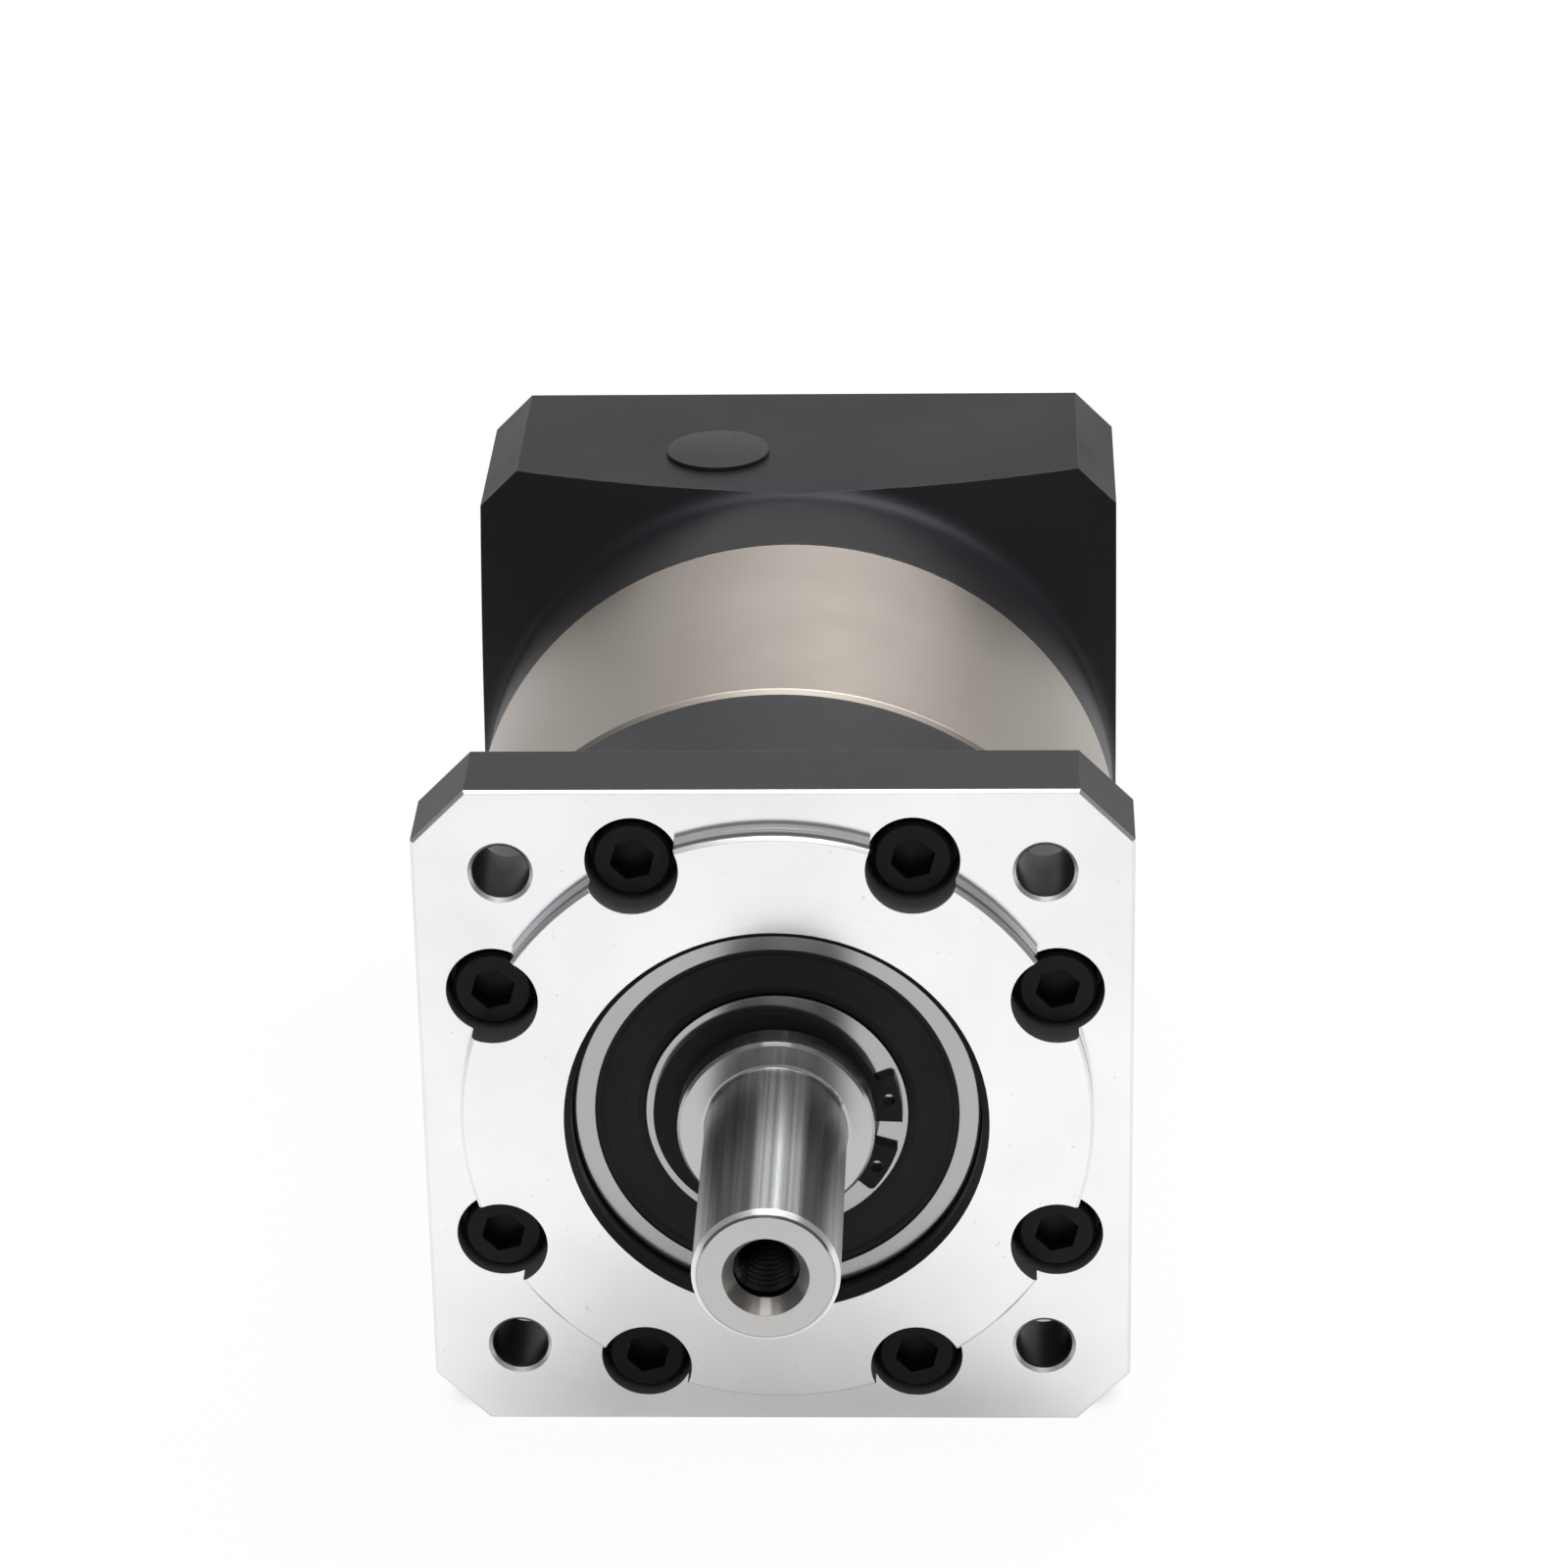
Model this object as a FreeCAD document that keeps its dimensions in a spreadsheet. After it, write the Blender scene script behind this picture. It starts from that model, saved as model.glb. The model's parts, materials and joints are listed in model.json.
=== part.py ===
import FreeCAD, Part
import math
import os
import re

import Sketcher
from FreeCAD import Placement, Rotation, Vector

# Single-stage planetary gear reducer with a square output flange and a square motor adapter.
# Frame: +Z up, X to the right, the shafts on the Y axis. The origin is on the shaft axis in the
# flange's front face; the output shaft points along -Y and the motor goes on from +Y.
# Lengths are millimetres and angles are degrees. "Station" is a distance along Y.

DRIVING_SIZES = [
    # Both square ends, the sleeve between them and the walls from the sleeve in to the gears
    ("frame_width", 90),
    ("corner_chamfer", 6.85),
    ("sleeve_step", 0.2),
    ("ring_wall", 2.3),
    ("register_wall", 2),
    ("root_wall", 1.75),
    ("ring_edge", 0.8),
    # Output flange, pilot and barrel of the front housing
    ("flange_thickness", 12),
    ("mount_edge", 11.125),
    ("mount_hole", 7),
    ("mount_hole_chamfer", 0.6),
    ("pilot_diameter", 80),
    ("pilot_height", 2.9),
    ("barrel_step", 0.3),
    ("edge_break", 0.4),
    # Registers that centre the ring gear on the bodies at its two ends
    ("front_register", 4.2),
    ("rear_register", 4.9),
    ("register_lip", 0.6),
    ("register_clearance", 0.03),
    ("seal_ring_section", 1.2),
    ("seal_ring_offset", 1.2),
    # Body screws, front and rear
    ("screw_angle", 26.2),
    ("counterbore_gap", 0.9),
    ("counterbore_depth", 6.5),
    ("screw_play", 0.3),
    ("rear_grip", 22.5),
    ("thread_engagement", 12.5),
    ("tapped_spare", 2),
    ("body_screw_thread", 6),
    ("body_screw_head", 10),
    ("body_screw_head_height", 6),
    ("body_screw_hex", 5),
    ("body_screw_hex_depth", 3),
    # Output bearings, a pair of sealed deep-groove ball bearings
    ("bearing_recess", 3),
    ("bearing_mouth_chamfer", 0.9),
    ("bearing_rib", 4.5),
    ("bearing_rib_height", 3),
    ("output_bore", 25),
    ("output_outer", 52),
    ("output_width", 15),
    ("output_ball", 7.94),
    ("output_race_depth", 1.32),
    ("output_seal_step", 1.2),
    ("output_corner", 0.55),
    ("output_cage_gap", 1.15),
    # Input bearing
    ("input_inset", 5),
    ("input_shoulder", 1.5),
    ("input_shoulder_height", 2),
    ("input_bore", 20),
    ("input_outer", 37),
    ("input_width", 9),
    ("input_ball", 4.76),
    ("input_race_depth", 0.7),
    ("input_seal_step", 0.7),
    ("input_corner", 0.6),
    ("input_cage_gap", 0.15),
    # Shared by the ball bearings
    ("ball_spacing", 5),
    ("seal_inset", 0.35),
    ("seal_thickness", 1),
    ("seal_dish", 0.25),
    ("seal_bead", 1.1),
    ("cage_thickness", 1.6),
    ("running_clearance", 0.05),
    ("race_clearance", 0.03),
    ("pocket_clearance", 0.12),
    # Output shaft
    ("shaft_diameter", 18),
    ("shaft_reach", 41.6),
    ("shaft_chamfer", 0.8),
    ("shoulder_length", 3.65),
    ("shoulder_fillet", 0.5),
    ("centre_mouth", 10.6),
    ("centre_cone_angle", 60),
    ("centre_thread", 8),
    ("centre_length", 22),
    ("drill_point_angle", 118),
    ("abutment_height", 3),
    ("abutment_length", 1.2),
    # Retaining rings, one on the output shaft and one in the motor adapter
    ("clip_thickness", 1.2),
    ("clip_groove_depth", 0.55),
    ("clip_band", 2.63),
    ("clip_taper", 1.08),
    ("clip_lug_height", 1.32),
    ("clip_lug_angle", 24.7),
    ("clip_gap_angle", 14.5),
    ("clip_hole", 1.6),
    ("clip_eye", 1.5),
    ("clip_turn", -9.6),
    # Gear set
    ("pressure_angle", 20),
    ("sun_teeth", 21),
    ("planet_teeth", 21),
    ("planet_count", 3),
    ("gear_width", 24),
    ("root_clearance", 0.25),
    ("backlash", 0.12),
    # Planet carrier
    ("carrier_clearance", 2.5),
    ("carrier_end_gap", 1),
    ("front_plate", 8),
    ("rear_plate", 6),
    ("plate_gap", 0.2),
    ("washer_thickness", 0.6),
    ("washer_step", 4.5),
    ("pin_diameter", 8),
    ("pin_floor", 2),
    ("needle_diameter", 2),
    ("needle_spacing", 0.2),
    ("needle_end_gap", 0.3),
    ("post_diameter", 12),
    ("passage_gap", 0.75),
    ("carrier_screw_thread", 4),
    ("carrier_screw_head", 7),
    ("carrier_screw_head_height", 4),
    ("carrier_screw_hex", 3),
    ("carrier_screw_hex_depth", 2),
    ("carrier_screw_length", 12),
    ("head_gap", 0.2),
    ("head_sink", 0.2),
    # Sun shaft and its clamp on the motor's shaft
    ("sun_gap", 1),
    ("sun_overhang", 1),
    ("neck_relief", 0.25),
    ("sun_collar_height", 2),
    ("sun_collar_length", 1.5),
    ("motor_shaft", 14),
    ("motor_shaft_depth", 26),
    ("hub_wall", 1.5),
    ("hub_slot", 1.5),
    ("hub_slot_land", 2.2),
    ("hub_spare", 1.1),
    ("collar_gap", 8.5),
    ("collar_wall", 0.4),
    ("collar_outer", 36),
    ("collar_width", 12),
    ("collar_slot", 2),
    ("clamp_screw_thread", 5),
    ("clamp_screw_head", 8.5),
    ("clamp_screw_head_height", 5),
    ("clamp_screw_hex", 4),
    ("clamp_screw_hex_depth", 2.5),
    ("clamp_screw_length", 14),
    ("clamp_seat_height", 5),
    # Oil seal between the input bearing and the clamp's chamber
    ("oil_seal_diameter", 35),
    ("oil_seal_width", 7),
    ("oil_seal_wall", 1.2),
    ("oil_seal_lip", 2.2),
    # Motor adapter
    ("adapter_chamfer", 5.35),
    ("neck_step", 0.3),
    ("neck_length", 18.1),
    ("neck_fillet", 4),
    ("cone_angle", 29),
    ("chamber_gap", 4),
    ("motor_pilot", 73),
    ("motor_pilot_depth", 4),
    ("motor_edge", 10.2),
    ("motor_tapped", 5),
    ("motor_tapped_depth", 16),
    ("clamp_setback", 23.85),
    # Plug over the access hole to the clamp screw
    ("plug_diameter", 14.5),
    ("plug_rest", 1.75),
    ("plug_rim", 0.6),
    ("plug_crown", 0.5),
    ("plug_stem_length", 9),
]

# Places and sizes that follow from the driving sizes. Stations run from the flange's front face,
# first through the bearings and the gears to the motor's face. Radii run from the sleeve inwards,
# and the gears' module is what fits inside the walls.
PLACES = {
    "pilot_face": "-pilot_height",
    "bearing_face": "pilot_face + bearing_recess",
    "first_bearing_back": "bearing_face + output_width",
    "second_bearing_front": "first_bearing_back + bearing_rib",
    "second_bearing_back": "second_bearing_front + output_width",
    "front_spigot_end": "second_bearing_back + register_lip",
    "ring_front": "front_spigot_end - front_register",
    "shaft_tip": "-shaft_reach",
    "clip_front": "bearing_face - clip_thickness",
    "shoulder_end": "clip_front - shoulder_length",
    "carrier_front": "second_bearing_back + abutment_length",
    "front_plate_back": "carrier_front + front_plate",
    "pin_front": "carrier_front + pin_floor",
    "washer_room": "washer_thickness + plate_gap",
    "planet_front": "front_plate_back + washer_room",
    "planet_back": "planet_front + gear_width",
    "rear_plate_front": "planet_back + washer_room",
    "rear_plate_back": "rear_plate_front + rear_plate",
    "rear_spigot_end": "rear_plate_back + carrier_end_gap",
    "ring_rear": "rear_spigot_end + rear_register",
    "sun_front": "front_plate_back + sun_gap",
    "sun_back": "planet_back + sun_overhang",
    "input_bearing_front": "rear_spigot_end + input_inset",
    "input_bearing_back": "input_bearing_front + input_width",
    "input_clip_front": "input_bearing_front - clip_thickness",
    "oil_seal_front": "input_bearing_back + input_shoulder",
    "oil_seal_back": "oil_seal_front + oil_seal_width",
    "hub_front": "oil_seal_back + hub_spare",
    "clamp_station": "hub_front + collar_gap + collar_width / 2",
    "hub_end": "clamp_station + collar_width / 2 + hub_spare",
    "motor_face": "clamp_station + clamp_setback",
    "rear_seat": "ring_rear + rear_grip",
    "neck_end": "ring_rear + neck_length",
    "fillet_reach": "neck_fillet * tan((90 - cone_angle) / 2)",
    "half_width": "frame_width / 2",
    "mount_spacing": "frame_width - 2 * mount_edge",
    "motor_spacing": "frame_width - 2 * motor_edge",
    "ring_radius": "half_width - sleeve_step",
    "barrel_radius": "ring_radius - barrel_step",
    "neck_radius": "ring_radius - neck_step",
    "screw_radius": "ring_radius - ring_wall - body_screw_thread / 2",
    "screw_far": "screw_radius * cos(screw_angle)",
    "screw_near": "screw_radius * sin(screw_angle)",
    "register_radius": "screw_radius - body_screw_thread / 2 - register_wall",
    "ring_root_radius": "register_radius - root_wall",
    "ring_teeth": "sun_teeth + 2 * planet_teeth",
    "gear_module": "ring_root_radius / (ring_teeth / 2 + 1 + root_clearance)",
    "ring_tip_radius": "gear_module * (ring_teeth / 2 - 1)",
    "pin_circle": "gear_module * (sun_teeth + planet_teeth)",
    "sun_root_radius": "gear_module * (sun_teeth / 2 - 1 - root_clearance)",
    "carrier_radius": "ring_tip_radius - carrier_clearance",
    "post_circle": "2 * carrier_radius - post_diameter",
    "sun_passage": "gear_module * (sun_teeth + 2) + 2 * passage_gap",
    "seal_ring_floor": "register_radius + register_clearance - seal_ring_section",
    "counterbore": "body_screw_head + 2 * counterbore_gap",
    "screw_clearance": "body_screw_thread + 2 * screw_play",
    "front_grip": "ring_front - counterbore_depth",
    "abutment_radius": "output_bore / 2 + abutment_height",
    "clip_groove_radius": "output_bore / 2 - clip_groove_depth",
    "input_clip_radius": "input_outer / 2 + clip_groove_depth",
    "planet_bore": "pin_diameter + 2 * needle_diameter + 4 * race_clearance",
    "needle_circle": "pin_diameter + needle_diameter + 2 * race_clearance",
    "hub_diameter": "motor_shaft + 2 * hub_wall",
    "clamp_offset": "hub_diameter / 2 + collar_wall + clamp_screw_thread / 2",
    "chamber_radius": "collar_outer / 2 + chamber_gap",
    "access_hole": "plug_diameter - 2 * plug_rest",
}

doc = FreeCAD.newDocument("planetary_gear_reducer")
sheet = doc.addObject("Spreadsheet::Sheet", "sizes")
for row, (alias, size) in enumerate(DRIVING_SIZES, start=1):
    sheet.set(f"A{row}", alias)
    sheet.set(f"B{row}", str(size))
    sheet.setAlias(f"B{row}", alias)
doc.recompute()

CELLS = {alias for alias, size in DRIVING_SIZES}
WORD = re.compile(r"[a-z][a-z_0-9]*")
CUTTING_FEATURES = ("PartDesign::Pocket", "PartDesign::Groove", "PartDesign::Hole")
# A sketch's own numbers for its origin point and for the axis at zero in each direction
ORIGIN_POINT = (-1, 1)
ZERO_AXES = {"DistanceX": -2, "DistanceY": -1}
ABOUT_FACE = Rotation(Vector(1, 0, 0), 180)
UPRIGHT_TO_SHAFT = Rotation(Vector(1, 0, 0), -90)
EDGE_TAPER = -45
COUNTERSINK_ANGLE = 90
HEX_CORNERS = [15 + 60 * side for side in range(6)]
LEAST_CUT = 1e-6
nodes = []


def bound(text):
    """Writes out each named place in an expression, down to the cells of the sheet."""

    def written_out(match):
        word = match.group()
        if word in PLACES:
            return f"({bound(PLACES[word])})"
        return f"sizes.{word}" if word in CELLS else word

    return WORD.sub(written_out, text)


def number(text):
    """The value of an expression with the sheet's present sizes."""
    return float(sheet.evalExpression(bound(text)))


def keep(node):
    """Marks a document object as one of the reducer's pieces."""
    nodes.append(node)
    return node


def new_body(label):
    return doc.addObject("PartDesign::Body", label)


def origin_feature(body, role):
    return next(feature for feature in body.Origin.OriginFeatures if feature.Role == role)


def new_sketch(body, role="XY_Plane", offset=None):
    """A sketch on one of the body's own planes, moved along that plane's normal."""
    sketch = body.newObject("Sketcher::SketchObject", body.Label + "_sketch")
    sketch.AttachmentSupport = (origin_feature(body, role), [""])
    sketch.MapMode = "FlatFace"
    if offset:
        sketch.setExpression("AttachmentOffset.Base.z", bound(offset))
    return sketch


def cross_sketch(body, station):
    """A sketch square to the shaft axis. It looks along +Y, so X is right and Z is up."""
    return new_sketch(body, "XZ_Plane", f"-({station})")


def fix_point(sketch, item, point, across, along):
    """Ties a point of the sketch to two expressions measured from the sketch's origin."""
    for kind, text in (("DistanceX", across), ("DistanceY", along)):
        if text == "0":
            rule = Sketcher.Constraint("PointOnObject", item, point, ZERO_AXES[kind])
            sketch.addConstraint(rule)
            continue
        rule = Sketcher.Constraint(kind, *ORIGIN_POINT, item, point, number(text))
        sketch.setExpression(f"Constraints[{sketch.addConstraint(rule)}]", bound(text))


def arc_between(start, end, radius, side):
    """The shorter arc between two points, with its centre left (+1) or right (-1) of the way."""
    chord = end - start
    normal = Vector(-chord.y, chord.x, 0).normalize()
    rise = math.sqrt(max(radius ** 2 - (chord.Length / 2) ** 2, 0))
    centre = (start + end) * 0.5 + normal * (side * rise)
    first, last = (start, end) if side > 0 else (end, start)
    angles = [math.atan2(spot.y - centre.y, spot.x - centre.x) for spot in (first, last)]
    return Part.ArcOfCircle(Part.Circle(centre, Vector(0, 0, 1), radius), *angles)


def draw_outline(sketch, points):
    """Draws a closed outline through points (across, along), all of them expressions.

    A point with a third and fourth entry starts an arc of that radius to the next point, with
    its centre left (+1) or right (-1) of the way there.
    """
    spots = [Vector(number(point[0]), number(point[1]), 0) for point in points]
    ends = []
    for index, point in enumerate(points):
        start, end = spots[index], spots[(index + 1) % len(spots)]
        if len(point) == 2:
            sketch.addGeometry(Part.LineSegment(start, end), False)
            ends.append((1, 2))
            continue
        radius, side = point[2:]
        sketch.addGeometry(arc_between(start, end, number(radius), side), False)
        ends.append((1, 2) if side > 0 else (2, 1))
        rule = Sketcher.Constraint("Radius", index, number(radius))
        sketch.setExpression(f"Constraints[{sketch.addConstraint(rule)}]", bound(radius))
    for index, point in enumerate(points):
        after = (index + 1) % len(points)
        rule = Sketcher.Constraint("Coincident", index, ends[index][1], after, ends[after][0])
        sketch.addConstraint(rule)
        fix_point(sketch, index, ends[index][0], point[0], point[1])


def draw_circles(sketch, centres, diameter):
    """Draws equal circles at centres (across, along) given as expressions."""
    for index, (across, along) in enumerate(centres):
        spot = Vector(number(across), number(along), 0)
        sketch.addGeometry(Part.Circle(spot, Vector(0, 0, 1), number(diameter) / 2), False)
        fix_point(sketch, index, 3, across, along)
        rule = Sketcher.Constraint("Diameter", index, number(diameter))
        sketch.setExpression(f"Constraints[{sketch.addConstraint(rule)}]", bound(diameter))


def spin(body, points, kind="PartDesign::Revolution", role="XY_Plane", angle=None):
    """Turns an outline of (radius, station) about the body's axis, adding or cutting."""
    sketch = new_sketch(body, role)
    draw_outline(sketch, points)
    feature = body.newObject(kind, body.Label + "_turned")
    feature.Profile = sketch
    feature.ReferenceAxis = (sketch, ["V_Axis"])
    feature.Angle = 360
    if angle:
        feature.Midplane = True
        feature.setExpression("Angle", bound(angle))
    return feature


def turned(label, points, station=None):
    """A body turned from one outline; with a station, the outline starts from there."""
    body = new_body(label)
    spin(body, points)
    if station:
        body.setExpression("Placement.Base.y", bound(station))
    return body


def extrude(body, sketch, length, kind="PartDesign::Pad", backward=False, taper=None):
    """A pad or a pocket from a sketch; pads grow along -Y and pockets cut along +Y."""
    feature = body.newObject(kind, body.Label + "_run")
    feature.Profile = sketch
    feature.Reversed = backward
    feature.setExpression("Length", bound(length))
    if taper:
        feature.TaperAngle = taper
    return feature


def drill(body, centres, diameter, station, depth, backward=False):
    """Round holes along the shaft axis, cut from a station towards +Y, or -Y if backward."""
    sketch = cross_sketch(body, station)
    draw_circles(sketch, centres, diameter)
    return extrude(body, sketch, depth, "PartDesign::Pocket", backward)


def chamfered_square(body, station, chamfer):
    """A sketch of the frame's square, with its four corners cut off at 45 degrees."""
    side, short = "half_width", f"(half_width - {chamfer})"
    points = []
    for across, along in ((1, 1), (-1, 1), (-1, -1), (1, -1)):
        corner = [(f"{across} * {side}", f"{along} * {short}"),
                  (f"{across} * {short}", f"{along} * {side}")]
        points += corner if across * along > 0 else corner[::-1]
    sketch = cross_sketch(body, station)
    draw_outline(sketch, points)
    return sketch


def four_corners(spacing):
    return [(f"{x} * {spacing} / 2", f"{z} * {spacing} / 2") for x in (-1, 1) for z in (-1, 1)]


def ring_places(circle, angles):
    """Places on a circle of the given diameter, as expressions."""
    return [(f"{circle} / 2 * cos({angle})", f"{circle} / 2 * sin({angle})") for angle in angles]


def turn(angle):
    """A turn about the shaft axis, from X towards Z."""
    return Rotation(Vector(0, -1, 0), angle)


def at(place, station, rotation=Rotation()):
    """A placement from a place (x, z) and a station, all expressions."""
    return Placement(Vector(number(place[0]), number(station), number(place[1])), rotation)


def copies(label, seed, placements):
    """Separate identical solids as one piece, each a copy of the seed's solid."""
    solids = []
    for placement in placements:
        solid = seed.Shape.copy()
        solid.Placement = placement.multiply(seed.Shape.Placement)
        solids.append(solid)
    feature = doc.addObject("Part::Feature", label)
    feature.Shape = Part.makeCompound(solids)
    return feature


def boolean(kind, label, base, tool):
    feature = doc.addObject(kind, label)
    feature.Base = base
    feature.Tool = tool
    return feature


def cap_screw(label, name, length):
    """A socket-head cap screw along +Y, its head's underside at station 0."""
    head, top, thread = f"{name}_head / 2", f"-{name}_head_height", f"{name}_thread / 2"
    screw = turned(f"{label}_seed", [
        ("0", top),
        (f"{head} - edge_break", top),
        (head, f"{top} + edge_break"),
        (head, "0"),
        (thread, "0"),
        (thread, f"{length} - edge_break"),
        (f"{thread} - edge_break", length),
        ("0", length),
    ])
    corner = f"{name}_hex / sqrt(3)"
    socket = cross_sketch(screw, top)
    draw_outline(socket, [(f"{corner} * cos({angle})", f"{corner} * sin({angle})")
                          for angle in HEX_CORNERS])
    extrude(screw, socket, f"{name}_hex_depth", "PartDesign::Pocket")
    return screw


def lug_outline(root, tip, outward, side):
    """One ear of a retaining ring, from its root radius to its tip, with rounded corners.

    Outward is 1 for an ear that points away from the shaft axis and -1 for one that points to
    it. Side is 1 for the ear above the gap and -1 for the one below.
    """
    near, far = "clip_gap_angle / 4", "(clip_gap_angle / 2 + clip_lug_angle)"
    corner = "clip_lug_height / 2"
    shoulder = f"({tip} - {outward} * {corner})"
    foot = f"({tip} - {outward} * clip_lug_height)"
    rounding = f"({corner}) / ({tip}) * 180 / pi"

    def spot(radius, angle):
        return f"({radius}) * cos({angle})", f"{side} * ({radius}) * sin({angle})"

    return [
        spot(root, near),
        (*spot(tip, near), tip, side),
        (*spot(tip, f"{far} - {rounding}"), corner, side * outward),
        spot(shoulder, far),
        spot(foot, far),
        (*spot(root, far), root, -side),
    ]


def retaining_ring(label, back, band, lugs):
    """A spring ring with two eared ends, widest opposite its gap.

    Band and lugs are (inner radius, outer radius). The edge that the lugs share with the groove
    stays round about the shaft axis, and the band's other edge is set off centre.
    """
    body = new_body(label)
    ring = cross_sketch(body, back)
    grooved = 0 if band[0] == lugs[0] else 1
    shift = "-clip_taper" if grooved == 0 else "clip_taper"
    for index, radius in enumerate(band):
        centre = "0" if index == grooved else shift
        spot = Vector(number(centre), 0, 0)
        ring.addGeometry(Part.Circle(spot, Vector(0, 0, 1), number(radius)), False)
        fix_point(ring, index, 3, centre, "0")
        rule = Sketcher.Constraint("Radius", index, number(radius))
        ring.setExpression(f"Constraints[{ring.addConstraint(rule)}]", bound(radius))
    extrude(body, ring, "clip_thickness")
    front = f"{back} - clip_thickness"
    outward = 1 if grooved == 0 else -1
    for side in (1, -1):
        lug = cross_sketch(body, back)
        draw_outline(lug, lug_outline(lugs[grooved], lugs[1 - grooved], outward, side))
        extrude(body, lug, "clip_thickness")
    inside, outside = f"{lugs[0]} / 2", f"{lugs[1]} + clip_band"
    gap = [(inside, front), (outside, front), (outside, back), (inside, back)]
    spin(body, gap, "PartDesign::Groove", angle="clip_gap_angle")
    middle = "(clip_gap_angle + clip_lug_angle) / 2"
    eye = f"({lugs[1 - grooved]} - {outward} * clip_eye)"
    centres = [(f"{eye} * cos({middle})", f"{sign} * {eye} * sin({middle})") for sign in (-1, 1)]
    drill(body, centres, "clip_hole", front, "clip_thickness")
    body.Placement = Placement(Vector(), turn(number("clip_turn")))
    return body


def ball_bearing(label, name, station):
    """The outer ring, inner ring, two seals, balls and cage of one sealed ball bearing."""
    width, corner = f"{name}_width", f"{name}_corner"
    outer, bore = f"{name}_outer / 2", f"{name}_bore / 2"
    pitch, ball = f"({name}_outer + {name}_bore) / 4", f"{name}_ball / 2"
    groove = f"({ball} + race_clearance)"
    inner_land = f"({pitch} - {ball} + {name}_race_depth)"
    outer_land = f"({pitch} + {ball} - {name}_race_depth)"
    seat = f"({outer_land} + {name}_seal_step)"
    seat_depth = "(seal_inset + seal_thickness)"
    half_groove = f"sqrt({groove}^2 - ({ball} - {name}_race_depth)^2)"
    keep(turned(f"{label}_outer_ring", [
        (seat, "0"),
        (f"{outer} - {corner}", "0", corner, 1),
        (outer, corner),
        (outer, f"{width} - {corner}", corner, 1),
        (f"{outer} - {corner}", width),
        (seat, width),
        (seat, f"{width} - {seat_depth}"),
        (outer_land, f"{width} - {seat_depth}"),
        (outer_land, f"{width} / 2 + {half_groove}", groove, -1),
        (outer_land, f"{width} / 2 - {half_groove}"),
        (outer_land, seat_depth),
        (seat, seat_depth),
    ], station))
    keep(turned(f"{label}_inner_ring", [
        (f"{bore} + {corner}", "0"),
        (inner_land, "0"),
        (inner_land, f"{width} / 2 - {half_groove}", groove, -1),
        (inner_land, f"{width} / 2 + {half_groove}"),
        (inner_land, width),
        (f"{bore} + {corner}", width, corner, 1),
        (bore, f"{width} - {corner}"),
        (bore, corner, corner, 1),
    ], station))
    lip = f"({inner_land} + running_clearance)"
    seal = turned(f"{label}_seal_seed", [
        (lip, "seal_inset + seal_dish"),
        (f"{lip} + seal_bead", "seal_inset"),
        (f"{lip} + 2 * seal_bead", "seal_inset + seal_dish"),
        (f"{seat} - seal_bead", "seal_inset + seal_dish"),
        (f"{seat} - seal_bead / 2", "seal_inset"),
        (seat, "seal_inset"),
        (seat, seat_depth),
        (lip, seat_depth),
    ])
    cage_front = f"({seat_depth} + {name}_cage_gap)"
    ring = turned(f"{label}_cage_blank", [
        (f"{pitch} - cage_thickness / 2", cage_front),
        (f"{pitch} + cage_thickness / 2", cage_front),
        (f"{pitch} + cage_thickness / 2", f"{width} - {cage_front}"),
        (f"{pitch} - cage_thickness / 2", f"{width} - {cage_front}"),
    ], station)
    sphere = doc.addObject("Part::Sphere", f"{label}_ball_seed")
    sphere.setExpression("Radius", bound(ball))
    pocket = doc.addObject("Part::Cylinder", f"{label}_pocket_seed")
    pocket.setExpression("Radius", bound(f"{ball} + pocket_clearance"))
    pocket.setExpression("Height", bound("2 * cage_thickness"))
    pocket.setExpression("Placement.Base.z", bound("-cage_thickness"))
    doc.recompute()
    front = Placement(Vector(0, number(station), 0), Rotation())
    back = Placement(Vector(0, number(f"{station} + {width}"), 0), ABOUT_FACE)
    keep(copies(f"{label}_seals", seal, [front, back]))
    count = int(number(f"2 * pi * ({pitch}) / (2 * ({ball}) + ball_spacing)"))
    spots = ring_places(f"2 * ({pitch})", [360 * index / count for index in range(count)])
    spread = [at(spot, f"{station} + {width} / 2") for spot in spots]
    keep(copies(f"{label}_balls", sphere, spread))
    radial = [Placement(place.Base, Rotation(Vector(0, 0, 1), Vector(place.Base.x, 0, place.Base.z)))
              for place in spread]
    pockets = copies(f"{label}_pockets", pocket, radial)
    keep(boolean("Part::Cut", f"{label}_cage", ring, pockets))


def involute(angle):
    return math.tan(angle) - angle


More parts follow.
